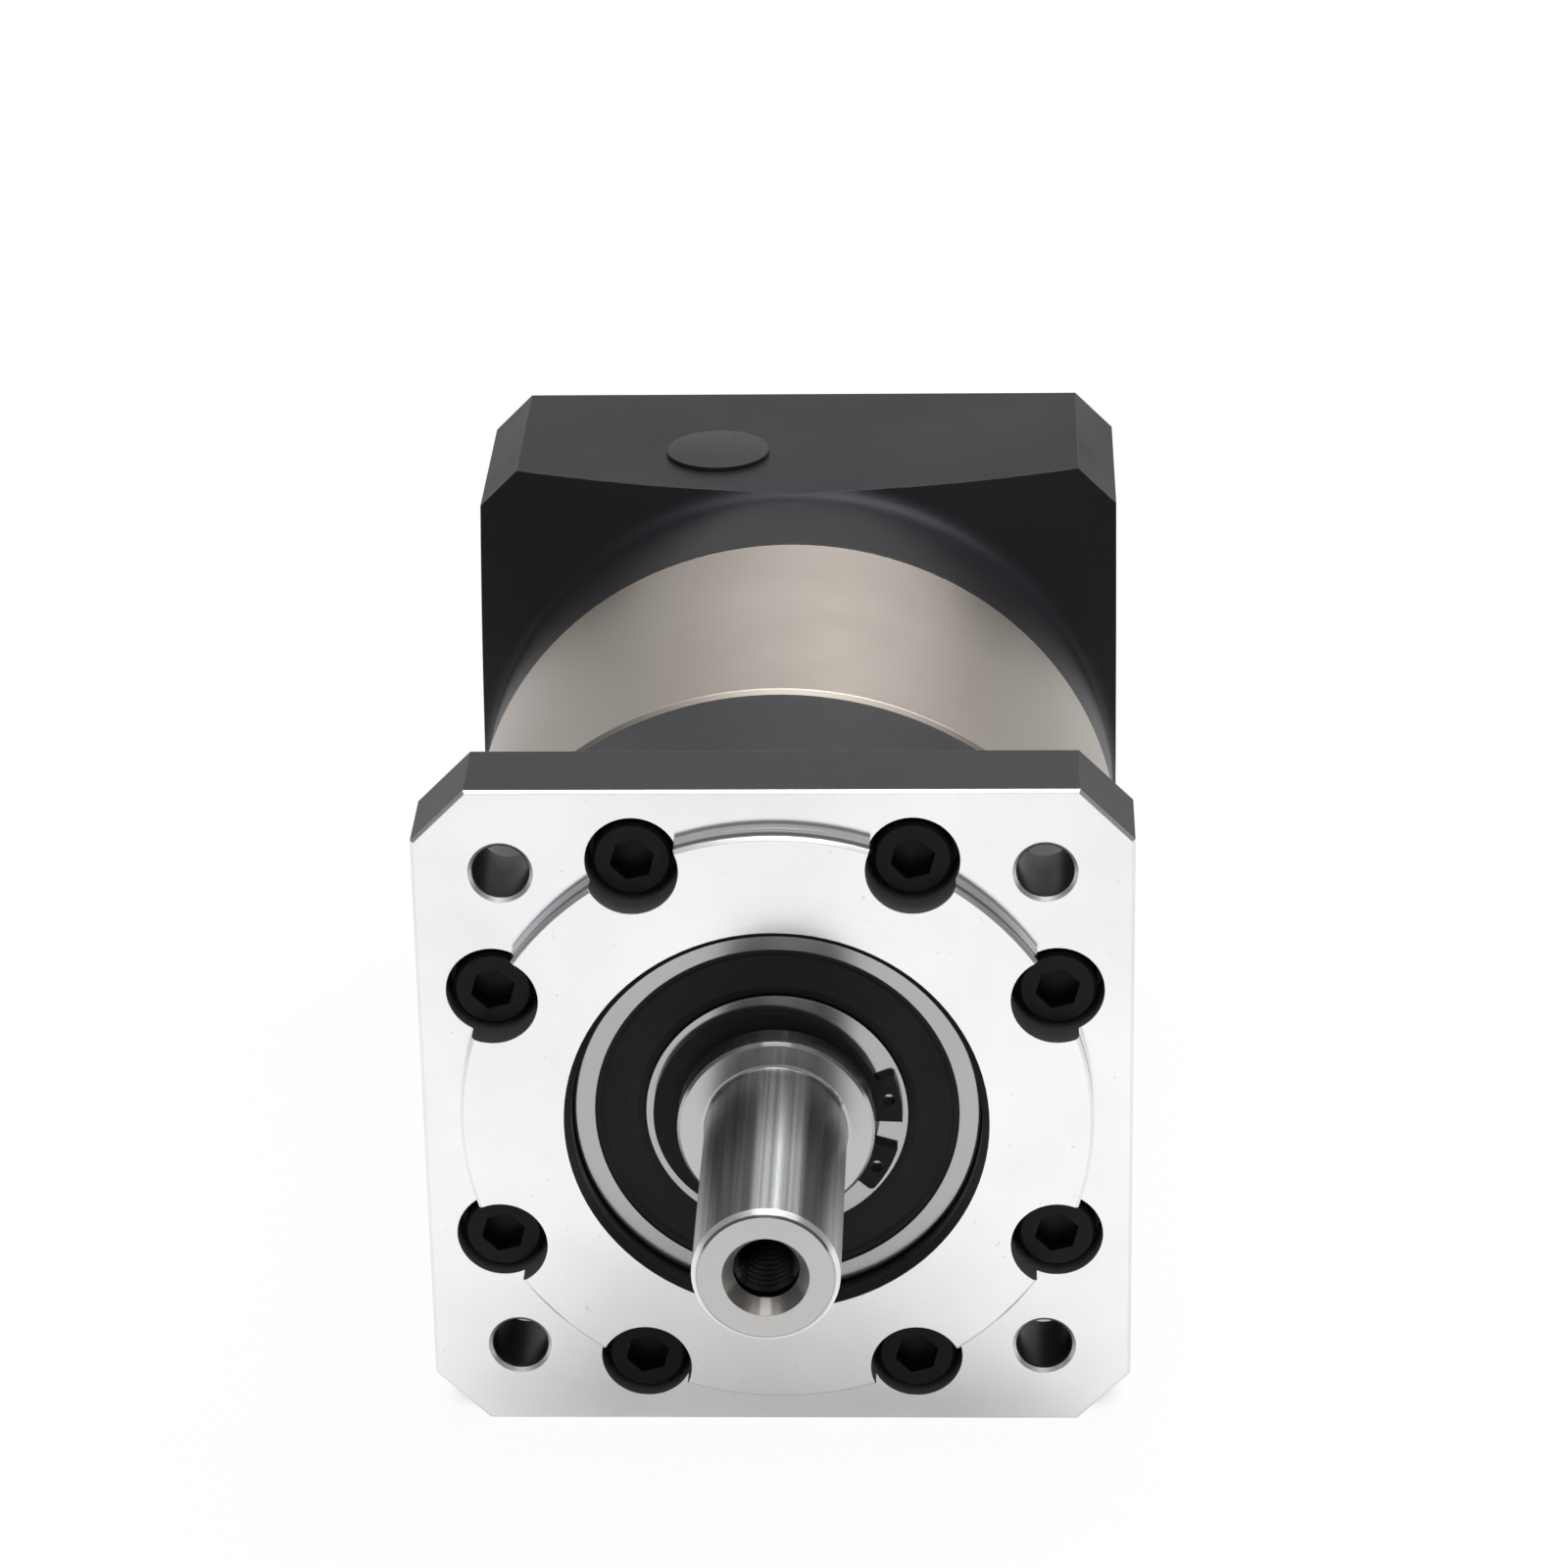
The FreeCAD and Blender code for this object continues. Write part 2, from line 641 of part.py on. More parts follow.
def toothed_disc(label, teeth, low, high, tooth, width, rotation=0):
    """A spur-toothed solid from station 0 to width, with involute flanks.

    Teeth reach from radius low to radius high and are as thick as tooth at the pitch circle.
    A tooth points along +X before the rotation, which is in degrees.
    """
    pressure = math.radians(number("pressure_angle"))
    pitch = number("gear_module") * teeth / 2
    base = pitch * math.cos(pressure)
    flank_points = 6

    def half_angle(radius):
        roll = math.acos(min(base / radius, 1))
        return tooth / (2 * pitch) + involute(pressure) - involute(roll)

    def spot(radius, angle):
        return Vector(radius * math.cos(angle), 0, radius * math.sin(angle))

    start = max(low, base)
    radii = [start + (high - start) * step / (flank_points - 1) for step in range(flank_points)]
    edges = []
    for index in range(teeth):
        middle = math.radians(rotation) + 2 * math.pi * index / teeth
        rising = [spot(radius, middle - half_angle(radius)) for radius in radii]
        falling = [spot(radius, middle + half_angle(radius)) for radius in reversed(radii)]
        foot = half_angle(start)
        next_foot = middle + 2 * math.pi / teeth - foot
        if low < start:
            edges.append(Part.LineSegment(spot(low, middle - foot), rising[0]))
        for flank in (rising, falling):
            curve = Part.BSplineCurve()
            curve.interpolate(flank)
            edges.append(curve)
            if flank is rising:
                edges.append(Part.Arc(rising[-1], spot(high, middle), falling[0]))
        if low < start:
            edges.append(Part.LineSegment(falling[-1], spot(low, middle + foot)))
        valley = (middle + foot + next_foot) / 2
        edges.append(Part.Arc(spot(low, middle + foot), spot(low, valley), spot(low, next_foot)))
    outline = Part.Wire([edge.toShape() for edge in edges])
    disc = doc.addObject("Part::Feature", label)
    disc.Shape = Part.Face(outline).extrude(Vector(0, width, 0))
    return disc


def front_housing():
    body = new_body("front_housing")
    extrude(body, chamfered_square(body, "edge_break", "corner_chamfer"),
            "flange_thickness - edge_break", backward=True)
    extrude(body, chamfered_square(body, "edge_break", "corner_chamfer"),
            "edge_break", taper=EDGE_TAPER)
    pilot = "pilot_diameter / 2"
    groove_front = "ring_front + seal_ring_offset"
    groove_back = f"{groove_front} + seal_ring_section"
    spin(body, [
        ("0", "pilot_face"),
        (f"{pilot} - edge_break", "pilot_face"),
        (pilot, "pilot_face + edge_break"),
        (pilot, "flange_thickness / 2"),
        ("0", "flange_thickness / 2"),
    ])
    spin(body, [
        ("0", "flange_thickness / 2"),
        ("barrel_radius", "flange_thickness / 2"),
        ("barrel_radius", "ring_front - edge_break"),
        ("barrel_radius - edge_break", "ring_front"),
        ("register_radius", "ring_front"),
        ("register_radius", groove_front),
        ("seal_ring_floor", groove_front),
        ("seal_ring_floor", groove_back),
        ("register_radius", groove_back),
        ("register_radius", "front_spigot_end"),
        ("0", "front_spigot_end"),
    ])
    bore, rib = "output_outer / 2", "(output_outer / 2 - bearing_rib_height)"
    spin(body, [
        ("0", "pilot_face"),
        (f"{bore} + bearing_mouth_chamfer", "pilot_face"),
        (bore, "pilot_face + bearing_mouth_chamfer"),
        (bore, "first_bearing_back"),
        (rib, "first_bearing_back"),
        (rib, "second_bearing_front"),
        (bore, "second_bearing_front"),
        (bore, "front_spigot_end"),
        ("0", "front_spigot_end"),
    ], "PartDesign::Groove")
    drill(body, BODY_SCREWS, "counterbore", "pilot_face", "pilot_height + counterbore_depth")
    drill(body, BODY_SCREWS, "screw_clearance", "pilot_face", "ring_front + pilot_height")
    corners = cross_sketch(body, "0")
    draw_circles(corners, four_corners("mount_spacing"), "mount_hole")
    hole = body.newObject("PartDesign::Hole", "mount_holes")
    hole.Profile = corners
    doc.recompute()
    hole.ThreadType = 0
    hole.DepthType = "Dimension"
    hole.DrillPoint = "Flat"
    hole.setExpression("Depth", bound("flange_thickness"))
    hole.setExpression("Diameter", bound("mount_hole"))
    hole.HoleCutType = "Countersink"
    hole.HoleCutCountersinkAngle = COUNTERSINK_ANGLE
    hole.setExpression("HoleCutDiameter", bound("mount_hole + 2 * mount_hole_chamfer"))
    return body


def ring_gear():
    blank = turned("ring_gear_blank", [
        ("0", "ring_front"),
        ("ring_radius - ring_edge", "ring_front"),
        ("ring_radius", "ring_front + ring_edge"),
        ("ring_radius", "ring_rear - ring_edge"),
        ("ring_radius - ring_edge", "ring_rear"),
        ("0", "ring_rear"),
    ])
    register = "register_radius + register_clearance"
    for front, back in (("ring_front", "front_spigot_end + register_lip"),
                        ("rear_spigot_end - register_lip", "ring_rear")):
        spin(blank, [("0", front), (register, front), (register, back), ("0", back)],
             "PartDesign::Groove")
    tapped = "thread_engagement + tapped_spare"
    drill(blank, BODY_SCREWS, "body_screw_thread", "ring_front", tapped)
    drill(blank, REAR_SCREWS, "body_screw_thread", "ring_rear", tapped, True)
    space = number("gear_module") * math.pi / 2 + number("backlash") / 2
    cutter = toothed_disc("ring_gear_cutter", int(number("ring_teeth")),
                          number("ring_tip_radius"), number("ring_root_radius"), space,
                          number("ring_rear - ring_front"))
    cutter.Placement = Placement(Vector(0, number("ring_front"), 0), Rotation())
    return boolean("Part::Cut", "ring_gear", blank, cutter)


def motor_adapter():
    body = new_body("motor_adapter")
    block_back = "motor_face - edge_break"
    extrude(body, chamfered_square(body, block_back, "adapter_chamfer"),
            f"{block_back} - ring_rear")
    extrude(body, chamfered_square(body, block_back, "adapter_chamfer"),
            "edge_break", backward=True, taper=EDGE_TAPER)
    far_out = "(neck_radius + frame_width)"
    spin(body, [
        ("neck_radius - edge_break", "ring_rear"),
        ("neck_radius", "ring_rear + edge_break"),
        ("neck_radius", "neck_end - fillet_reach", "neck_fillet", -1),
        ("neck_radius + fillet_reach * cos(cone_angle)",
         "neck_end + fillet_reach * sin(cone_angle)"),
        (far_out, "neck_end + frame_width * tan(cone_angle)"),
        (far_out, "ring_rear"),
    ], "PartDesign::Groove")
    groove_back = "ring_rear - seal_ring_offset"
    groove_front = f"{groove_back} - seal_ring_section"
    spin(body, [
        ("0", "rear_spigot_end"),
        ("register_radius", "rear_spigot_end"),
        ("register_radius", groove_front),
        ("seal_ring_floor", groove_front),
        ("seal_ring_floor", groove_back),
        ("register_radius", groove_back),
        ("register_radius", "neck_end"),
        ("0", "neck_end"),
    ])
    bearing, shoulder = "input_outer / 2", "(input_outer / 2 - input_shoulder_height)"
    seal, chamber = "oil_seal_diameter / 2", "chamber_radius"
    pilot, pilot_floor = "motor_pilot / 2", "motor_face - motor_pilot_depth"
    spin(body, [
        ("0", "rear_spigot_end"),
        (bearing, "rear_spigot_end"),
        (bearing, "input_clip_front"),
        ("input_clip_radius", "input_clip_front"),
        ("input_clip_radius", "input_bearing_front"),
        (bearing, "input_bearing_front"),
        (bearing, "input_bearing_back"),
        (shoulder, "input_bearing_back"),
        (shoulder, "oil_seal_front"),
        (seal, "oil_seal_front"),
        (seal, "oil_seal_back"),
        (chamber, "oil_seal_back"),
        (chamber, pilot_floor),
        (pilot, pilot_floor),
        (pilot, "motor_face - edge_break"),
        (f"{pilot} + edge_break", "motor_face"),
        ("0", "motor_face"),
    ], "PartDesign::Groove")
    drill(body, REAR_SCREWS, "counterbore", "rear_seat", "motor_face - rear_seat")
    drill(body, REAR_SCREWS, "screw_clearance", "ring_rear", "rear_grip")
    drill(body, four_corners("motor_spacing"), "motor_tapped", "motor_face",
          "motor_tapped_depth", backward=True)
    access = new_sketch(body, "XY_Plane", "half_width")
    draw_circles(access, [("-clamp_offset", "clamp_station")], "access_hole")
    extrude(body, access, "half_width", "PartDesign::Pocket")
    return body


def output_shaft():
    shaft, journal = "shaft_diameter / 2", "output_bore / 2"
    abutment, plate = "abutment_radius", "carrier_radius"
    body = turned("output_shaft", [
        ("0", "shaft_tip"),
        (f"{shaft} - shaft_chamfer", "shaft_tip"),
        (shaft, "shaft_tip + shaft_chamfer"),
        (shaft, "shoulder_end - shoulder_fillet", "shoulder_fillet", -1),
        (f"{shaft} + shoulder_fillet", "shoulder_end"),
        (f"{journal} - edge_break", "shoulder_end"),
        (journal, "shoulder_end + edge_break"),
        (journal, "clip_front"),
        ("clip_groove_radius", "clip_front"),
        ("clip_groove_radius", "bearing_face"),
        (journal, "bearing_face"),
        (journal, "second_bearing_back"),
        (abutment, "second_bearing_back"),
        (abutment, "carrier_front"),
        (f"{plate} - edge_break", "carrier_front"),
        (plate, "carrier_front + edge_break"),
        (plate, "front_plate_back - edge_break"),
        (f"{plate} - edge_break", "front_plate_back"),
        ("0", "front_plate_back"),
    ])
    mouth, hole = "centre_mouth / 2", "centre_thread / 2"
    spin(body, [
        ("0", "shaft_tip"),
        (mouth, "shaft_tip"),
        (hole, f"shaft_tip + ({mouth} - {hole}) / tan(centre_cone_angle / 2)"),
        (hole, "shaft_tip + centre_length"),
        ("0", f"shaft_tip + centre_length + {hole} / tan(drill_point_angle / 2)"),
    ], "PartDesign::Groove")
    posts = cross_sketch(body, "front_plate_back")
    draw_circles(posts, POSTS, "post_diameter")
    extrude(body, posts, "rear_plate_front - front_plate_back", backward=True)
    drill(body, PINS, "pin_diameter", "front_plate_back", "front_plate_back - pin_front", True)
    drill(body, POSTS, "carrier_screw_thread", "rear_plate_front", "carrier_screw_length", True)
    return body


def carrier_rear_plate():
    passage, plate = "sun_passage / 2", "carrier_radius"
    body = turned("carrier_rear_plate", [
        (passage, "rear_plate_front"),
        (f"{plate} - edge_break", "rear_plate_front"),
        (plate, "rear_plate_front + edge_break"),
        (plate, "rear_plate_back - edge_break"),
        (f"{plate} - edge_break", "rear_plate_back"),
        (passage, "rear_plate_back"),
    ])
    drill(body, PINS, "pin_diameter", "rear_plate_front", "rear_plate")
    drill(body, POSTS, "carrier_screw_thread", "rear_plate_front", "rear_plate")
    drill(body, POSTS, "carrier_screw_head + 2 * head_gap", "rear_plate_back",
          "carrier_screw_head_height + head_sink", True)
    return body


def sun_shaft():
    neck, journal = "(sun_root_radius - neck_relief)", "input_bore / 2"
    collar = f"{journal} + sun_collar_height"
    hub, bore = "hub_diameter / 2", "motor_shaft / 2"
    stem = turned("sun_shaft_stem", [
        ("0", "sun_front"),
        (f"{neck} - edge_break", "sun_front"),
        (neck, "sun_front + edge_break"),
        (neck, "input_bearing_front - sun_collar_length"),
        (collar, "input_bearing_front - sun_collar_length"),
        (collar, "input_bearing_front"),
        (journal, "input_bearing_front"),
        (journal, "hub_front"),
        (hub, "hub_front"),
        (hub, "hub_end - edge_break"),
        (f"{hub} - edge_break", "hub_end"),
        (bore, "hub_end"),
        (bore, "hub_end - motor_shaft_depth"),
        ("0", "hub_end - motor_shaft_depth"),
    ])
    for width, height in (("hub_slot", "2 * hub_diameter"), ("2 * hub_diameter", "hub_slot")):
        slot = cross_sketch(stem, "hub_end")
        draw_outline(slot, [(f"{x} * ({width}) / 2", f"{z} * ({height}) / 2")
                            for x, z in ((-1, -1), (1, -1), (1, 1), (-1, 1))])
        extrude(stem, slot, "hub_end - hub_front - hub_slot_land", "PartDesign::Pocket", True)
    teeth = int(number("sun_teeth"))
    # A planet with an odd tooth count turns a space to the sun, so the sun shows it a tooth
    rotation = 0 if number("planet_teeth") % 2 else 180 / teeth
    gear = external_gear("sun_gear_teeth", teeth, number("sun_back - sun_front"), rotation)
    gear.Placement = Placement(Vector(0, number("sun_front"), 0), Rotation())
    return boolean("Part::Fuse", "sun_shaft", stem, gear)


def external_gear(label, teeth, width, rotation):
    """A spur gear that runs with its own kind and inside the ring, with half the backlash."""
    module = number("gear_module")
    tooth = module * math.pi / 2 - number("backlash") / 2
    root = module * (teeth / 2 - 1 - number("root_clearance"))
    return toothed_disc(label, teeth, root, module * (teeth / 2 + 1), tooth, width, rotation)


def planets():
    """The planet gears and their needle rollers, one set round each pin."""
    teeth = int(number("planet_teeth"))
    ring_over_planet = number("ring_teeth / planet_teeth")
    needle = doc.addObject("Part::Cylinder", "needle_seed")
    needle.setExpression("Radius", bound("needle_diameter / 2"))
    needle.setExpression("Height", bound("gear_width - 2 * needle_end_gap"))
    needle.Placement = Placement(Vector(), UPRIGHT_TO_SHAFT)
    doc.recompute()
    count = int(number("pi * needle_circle / (needle_diameter + needle_spacing)"))
    for index, angle in enumerate(PLANET_ANGLES, start=1):
        gear = external_gear(f"planet_{index}_teeth", teeth, number("gear_width"),
                             angle * (1 - ring_over_planet))
        gear.Placement = at(PINS[index - 1], "planet_front")
        bore = doc.addObject("Part::Cylinder", f"planet_{index}_bore")
        bore.setExpression("Radius", bound("planet_bore / 2"))
        bore.setExpression("Height", bound("gear_width"))
        bore.Placement = at(PINS[index - 1], "planet_front", UPRIGHT_TO_SHAFT)
        keep(boolean("Part::Cut", f"planet_gear_{index}", gear, bore))
        centre = at(PINS[index - 1], "planet_front + needle_end_gap")
        spots = ring_places("needle_circle", [360 * step / count for step in range(count)])
        keep(copies(f"planet_needles_{index}", needle,
                    [centre.multiply(at(spot, "0")) for spot in spots]))


def carrier_fasteners():
    """Pins and washers that carry the planets, and the screws that close the carrier."""
    pin, length = "pin_diameter / 2", "(rear_plate_back - pin_front)"
    seeds = {
        "pin": turned("pin_seed", [
            ("0", "0"),
            (f"{pin} - edge_break", "0"),
            (pin, "edge_break"),
            (pin, f"{length} - edge_break"),
            (f"{pin} - edge_break", length),
            ("0", length),
        ]),
        "washer": turned("washer_seed", [
            (pin, "0"),
            (f"{pin} + washer_step", "0"),
            (f"{pin} + washer_step", "washer_thickness"),
            (pin, "washer_thickness"),
        ]),
        "screw": cap_screw("carrier_screw", "carrier_screw", "carrier_screw_length"),
    }
    doc.recompute()
    keep(copies("planet_pins", seeds["pin"],
                [at(spot, "pin_front") for spot in PINS]))
    keep(copies("planet_washers", seeds["washer"],
                [at(spot, station) for spot in PINS
                 for station in ("front_plate_back", "rear_plate_front - washer_thickness")]))
    seat = "rear_plate_back - carrier_screw_head_height - head_sink"
    keep(copies("carrier_screws", seeds["screw"],
                [at(spot, seat, ABOUT_FACE) for spot in POSTS]))


def body_fasteners():
    """Screws, sealing rings and the spacer of the standing bodies."""
    front = cap_screw("front_screw", "body_screw", "front_grip + thread_engagement")
    rear = cap_screw("rear_screw", "body_screw", "rear_grip + thread_engagement")
    doc.recompute()
    keep(copies("front_screws", front, [at(spot, "counterbore_depth") for spot in BODY_SCREWS]))
    keep(copies("rear_screws", rear, [at(spot, "rear_seat", ABOUT_FACE) for spot in REAR_SCREWS]))
    middle = "(seal_ring_offset + seal_ring_section / 2)"
    for label, station in (("front_o_ring", f"ring_front + {middle}"),
                           ("rear_o_ring", f"ring_rear - {middle}")):
        ring = doc.addObject("Part::Torus", label)
        ring.setExpression("Radius1", bound("seal_ring_floor + seal_ring_section / 2"))
        ring.setExpression("Radius2", bound("seal_ring_section / 2"))
        ring.Placement = Placement(Vector(), Rotation(Vector(1, 0, 0), 90))
        ring.setExpression("Placement.Base.y", bound(station))
        keep(ring)
    journal = "output_bore / 2"
    keep(turned("bearing_spacer", [
        (journal, "first_bearing_back"),
        ("abutment_radius", "first_bearing_back"),
        ("abutment_radius", "second_bearing_front"),
        (journal, "second_bearing_front"),
    ]))


def input_seal():
    """The oil seal that keeps the gears' grease out of the clamp's chamber."""
    outer, lip = "oil_seal_diameter / 2", "(input_bore / 2 + running_clearance)"
    return turned("input_oil_seal", [
        (lip, "oil_seal_back - oil_seal_lip"),
        (f"{outer} - oil_seal_wall", "oil_seal_back - oil_seal_lip"),
        (f"{outer} - oil_seal_wall", "oil_seal_front"),
        (outer, "oil_seal_front"),
        (outer, "oil_seal_back"),
        (lip, "oil_seal_back"),
    ])


def clamp():
    """The split collar on the sun shaft's hub and the screw that closes it."""
    outer, bore = "collar_outer / 2", "hub_diameter / 2"
    front, back = "clamp_station - collar_width / 2", "clamp_station + collar_width / 2"
    collar = keep(turned("clamp_collar", [
        (bore, front),
        (f"{outer} - edge_break", front),
        (outer, f"{front} + edge_break"),
        (outer, f"{back} - edge_break"),
        (f"{outer} - edge_break", back),
        (bore, back),
    ]))
    slot = cross_sketch(collar, front)
    draw_outline(slot, [("0", "-collar_slot / 2"), ("0", "collar_slot / 2"),
                        ("-collar_outer", "collar_slot / 2"),
                        ("-collar_outer", "-collar_slot / 2")])
    extrude(collar, slot, "collar_width", "PartDesign::Pocket")
    tip = "(clamp_screw_length - clamp_seat_height)"
    for diameter, top, depth in (
            ("clamp_screw_thread", "collar_outer / 2", f"collar_outer / 2 + {tip}"),
            ("clamp_screw_head + 2 * head_gap", "collar_outer / 2",
             "collar_outer / 2 - clamp_seat_height")):
        hole = new_sketch(collar, "XY_Plane", top)
        draw_circles(hole, [("-clamp_offset", "clamp_station")], diameter)
        extrude(collar, hole, depth, "PartDesign::Pocket")
    screw = cap_screw("clamp_screw", "clamp_screw", "clamp_screw_length")
    doc.recompute()
    downward = UPRIGHT_TO_SHAFT
    keep(copies("clamp_screw", screw,
                [at(("-clamp_offset", "clamp_seat_height"), "clamp_station", downward)]))


def access_plug():
    """The low domed plug over the hole to the clamp screw, turned about a vertical axis."""
    rim, stem = "plug_diameter / 2", "(access_hole / 2 - running_clearance)"
    crown_radius = f"(({rim})^2 + plug_crown^2) / (2 * plug_crown)"
    plug = turned("access_plug", [
        ("0", "-plug_stem_length"),
        (f"{stem} - edge_break", "-plug_stem_length"),
        (stem, "edge_break - plug_stem_length"),
        (stem, "0"),
        (rim, "0"),
        (rim, "plug_rim", crown_radius, 1),
        ("0", "plug_rim + plug_crown"),
    ])
    plug.Placement = Placement(Vector(), Rotation(Vector(1, 0, 0), 90))
    plug.setExpression("Placement.Base.x", bound("-clamp_offset"))
    plug.setExpression("Placement.Base.y", bound("clamp_station"))
    plug.setExpression("Placement.Base.z", bound("half_width"))
    return plug


def check_document():
    """Stops if an object failed, a cut removed nothing or a piece isn't sound."""
    for thing in doc.Objects:
        if {"Invalid", "Error"} & set(thing.State):
            raise RuntimeError(f"{thing.Label} failed to recompute")
        if thing.TypeId in CUTTING_FEATURES:
            if thing.Shape.Volume >= thing.BaseFeature.Shape.Volume - LEAST_CUT:
                raise RuntimeError(f"{thing.Label} cuts nothing")
    for node in nodes:
        if node.Shape.isNull() or not node.Shape.isValid() or node.Shape.Volume <= 0:
            raise RuntimeError(f"{node.Label} has no sound shape")


signs = (-1, 1)
REAR_SCREWS = [(f"{x} * screw_far", f"{z} * screw_near") for x in signs for z in signs]
BODY_SCREWS = REAR_SCREWS + [(f"{x} * screw_near", f"{z} * screw_far") for x in signs for z in signs]

# Planets stand where the sun's and the ring's teeth let them mesh, as evenly as that allows
mesh_steps = number("sun_teeth + ring_teeth")
planet_total = int(number("planet_count"))
PLANET_ANGLES = [round(index * mesh_steps / planet_total) * 360 / mesh_steps
                 for index in range(planet_total)]
PINS = ring_places("pin_circle", PLANET_ANGLES)
POSTS = ring_places("post_circle", [angle + 180 / planet_total for angle in PLANET_ANGLES])

keep(front_housing())
keep(ring_gear())
keep(motor_adapter())
keep(output_shaft())
keep(carrier_rear_plate())
keep(sun_shaft())
planets()
carrier_fasteners()
body_fasteners()
ball_bearing("front_bearing", "output", "bearing_face")
ball_bearing("middle_bearing", "output", "second_bearing_front")
ball_bearing("input_bearing", "input", "input_bearing_front")
keep(input_seal())
clamp()
keep(access_plug())
clip_outer = "(clip_groove_radius + clip_band)"
keep(retaining_ring("shaft_circlip", "bearing_face", ("clip_groove_radius", clip_outer),
                    ("clip_groove_radius", f"({clip_outer} + clip_lug_height)")))
clip_inner = "(input_clip_radius - clip_band)"
keep(retaining_ring("input_circlip", "input_bearing_front", (clip_inner, "input_clip_radius"),
                    (f"({clip_inner} - clip_lug_height)", "input_clip_radius")))

doc.recompute()
check_document()
os.makedirs("parts", exist_ok=True)
for node in nodes:
    node.Shape.exportStep(f"parts/{node.Label}.step")
print(f"{len(nodes)} pieces, {sum(len(node.Shape.Solids) for node in nodes)} solids")
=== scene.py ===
import json
import math
from functools import reduce

import bmesh
import bpy
from mathutils import Matrix, Vector


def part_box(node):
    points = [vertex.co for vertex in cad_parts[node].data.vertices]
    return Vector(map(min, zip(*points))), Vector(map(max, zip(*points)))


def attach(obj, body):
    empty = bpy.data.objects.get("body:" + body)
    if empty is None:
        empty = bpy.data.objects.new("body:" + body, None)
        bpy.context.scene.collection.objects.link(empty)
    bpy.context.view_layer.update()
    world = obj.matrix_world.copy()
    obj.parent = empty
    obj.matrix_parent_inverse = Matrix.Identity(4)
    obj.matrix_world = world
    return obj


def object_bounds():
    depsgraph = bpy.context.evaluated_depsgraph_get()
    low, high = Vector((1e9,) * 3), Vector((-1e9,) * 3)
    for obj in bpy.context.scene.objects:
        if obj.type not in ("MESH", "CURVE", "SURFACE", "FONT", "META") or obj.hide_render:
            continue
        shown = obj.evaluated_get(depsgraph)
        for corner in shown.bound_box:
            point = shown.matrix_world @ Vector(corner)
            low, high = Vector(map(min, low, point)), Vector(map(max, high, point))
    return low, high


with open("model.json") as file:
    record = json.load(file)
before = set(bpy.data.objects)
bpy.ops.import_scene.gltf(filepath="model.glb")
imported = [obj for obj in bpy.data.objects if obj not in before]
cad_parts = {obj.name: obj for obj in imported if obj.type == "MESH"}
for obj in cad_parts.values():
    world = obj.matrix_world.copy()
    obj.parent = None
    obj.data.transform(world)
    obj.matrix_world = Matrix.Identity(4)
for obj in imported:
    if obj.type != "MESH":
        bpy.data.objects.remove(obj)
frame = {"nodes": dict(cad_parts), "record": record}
cad_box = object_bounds()

MM = 0.001

# The photograph: a long lens from above the output shaft's end, turned a little about its own axis
CAMERA_PLACE = Vector((0.02662, -0.61819, 0.33106))
CAMERA_RIGHT = Vector((0.99933, 0.03227, -0.0175))
CAMERA_FORWARD = Vector((-0.03663, 0.90747, -0.41852))
CAMERA_LENS = 126.95
CAMERA_SENSOR = 36.0
CAMERA_CLIP = (0.05, 50.0)

# Places on the front housing that its finish follows. The shaft axis is Y, and the front is at low Y.
FLANGE_FACE = 0.45 * MM
FLANGE_INSIDE = 43.5 * MM
COUNTERBORE_FLOOR = 6.7 * MM
CORNER_HOLES = 27.0 * MM
BEARING_SEAT = 28.0 * MM
PILOT_WALL = (39.3 * MM, 41.2 * MM)
# Where a painted dark reflection runs round the middle of the pilot wall: where it fades in, and where
# it fades out
PILOT_SHADE_START = (-2.5 * MM, -1.9 * MM)
PILOT_SHADE_END = (-1.4 * MM, -0.9 * MM)

# The shaft's end, with a rounded chamfer that has a darker lip in front
SHAFT_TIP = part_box("output_shaft")[0][1]
END_CHAMFER = 0.85 * MM
END_LIP = (SHAFT_TIP + 0.2 * MM, SHAFT_TIP + 0.36 * MM)

# The thread in the shaft's end
THREAD_RADIUS = 4.01 * MM
THREAD_CREST = 3.42 * MM
THREAD_PITCH = 1.25 * MM
THREAD_FLANK = 0.5 * MM
THREAD_LAND = 0.08 * MM
THREAD_START = 3.0 * MM
THREAD_END = 20.0 * MM
THREAD_STEPS = 36
HOLE_RADIUS = THREAD_RADIUS + 0.02 * MM

# How far a normal leans along a direction on a chamfer, on a wall that faces it, and on a flat face
CHAMFER_LEAN = 0.3
WALL_LEAN = 0.5
FLAT_LEAN = 0.95

# Stretches of a noise, which keeps near a half, that a finish spreads over its whole range
WIDE = (0.25, 0.75)
MIDDLE = (0.3, 0.7)
NARROW = (0.35, 0.65)
SHARP = (0.38, 0.62)

# Depth of the relief on a finish, and the rounding that every edge seems to have
FINE_RELIEF = 0.02 * MM
COARSE_RELIEF = 0.03 * MM
EDGE_ROUNDING = 0.15 * MM
ROUNDING_SAMPLES = 4
EDGE_LIKENESS = (0.9, 0.995)
QUARTER_TURN = 0.25


def grey(value, warmth=0.0):
    return (value * (1 + warmth), value, value * (1 - warmth), 1.0)


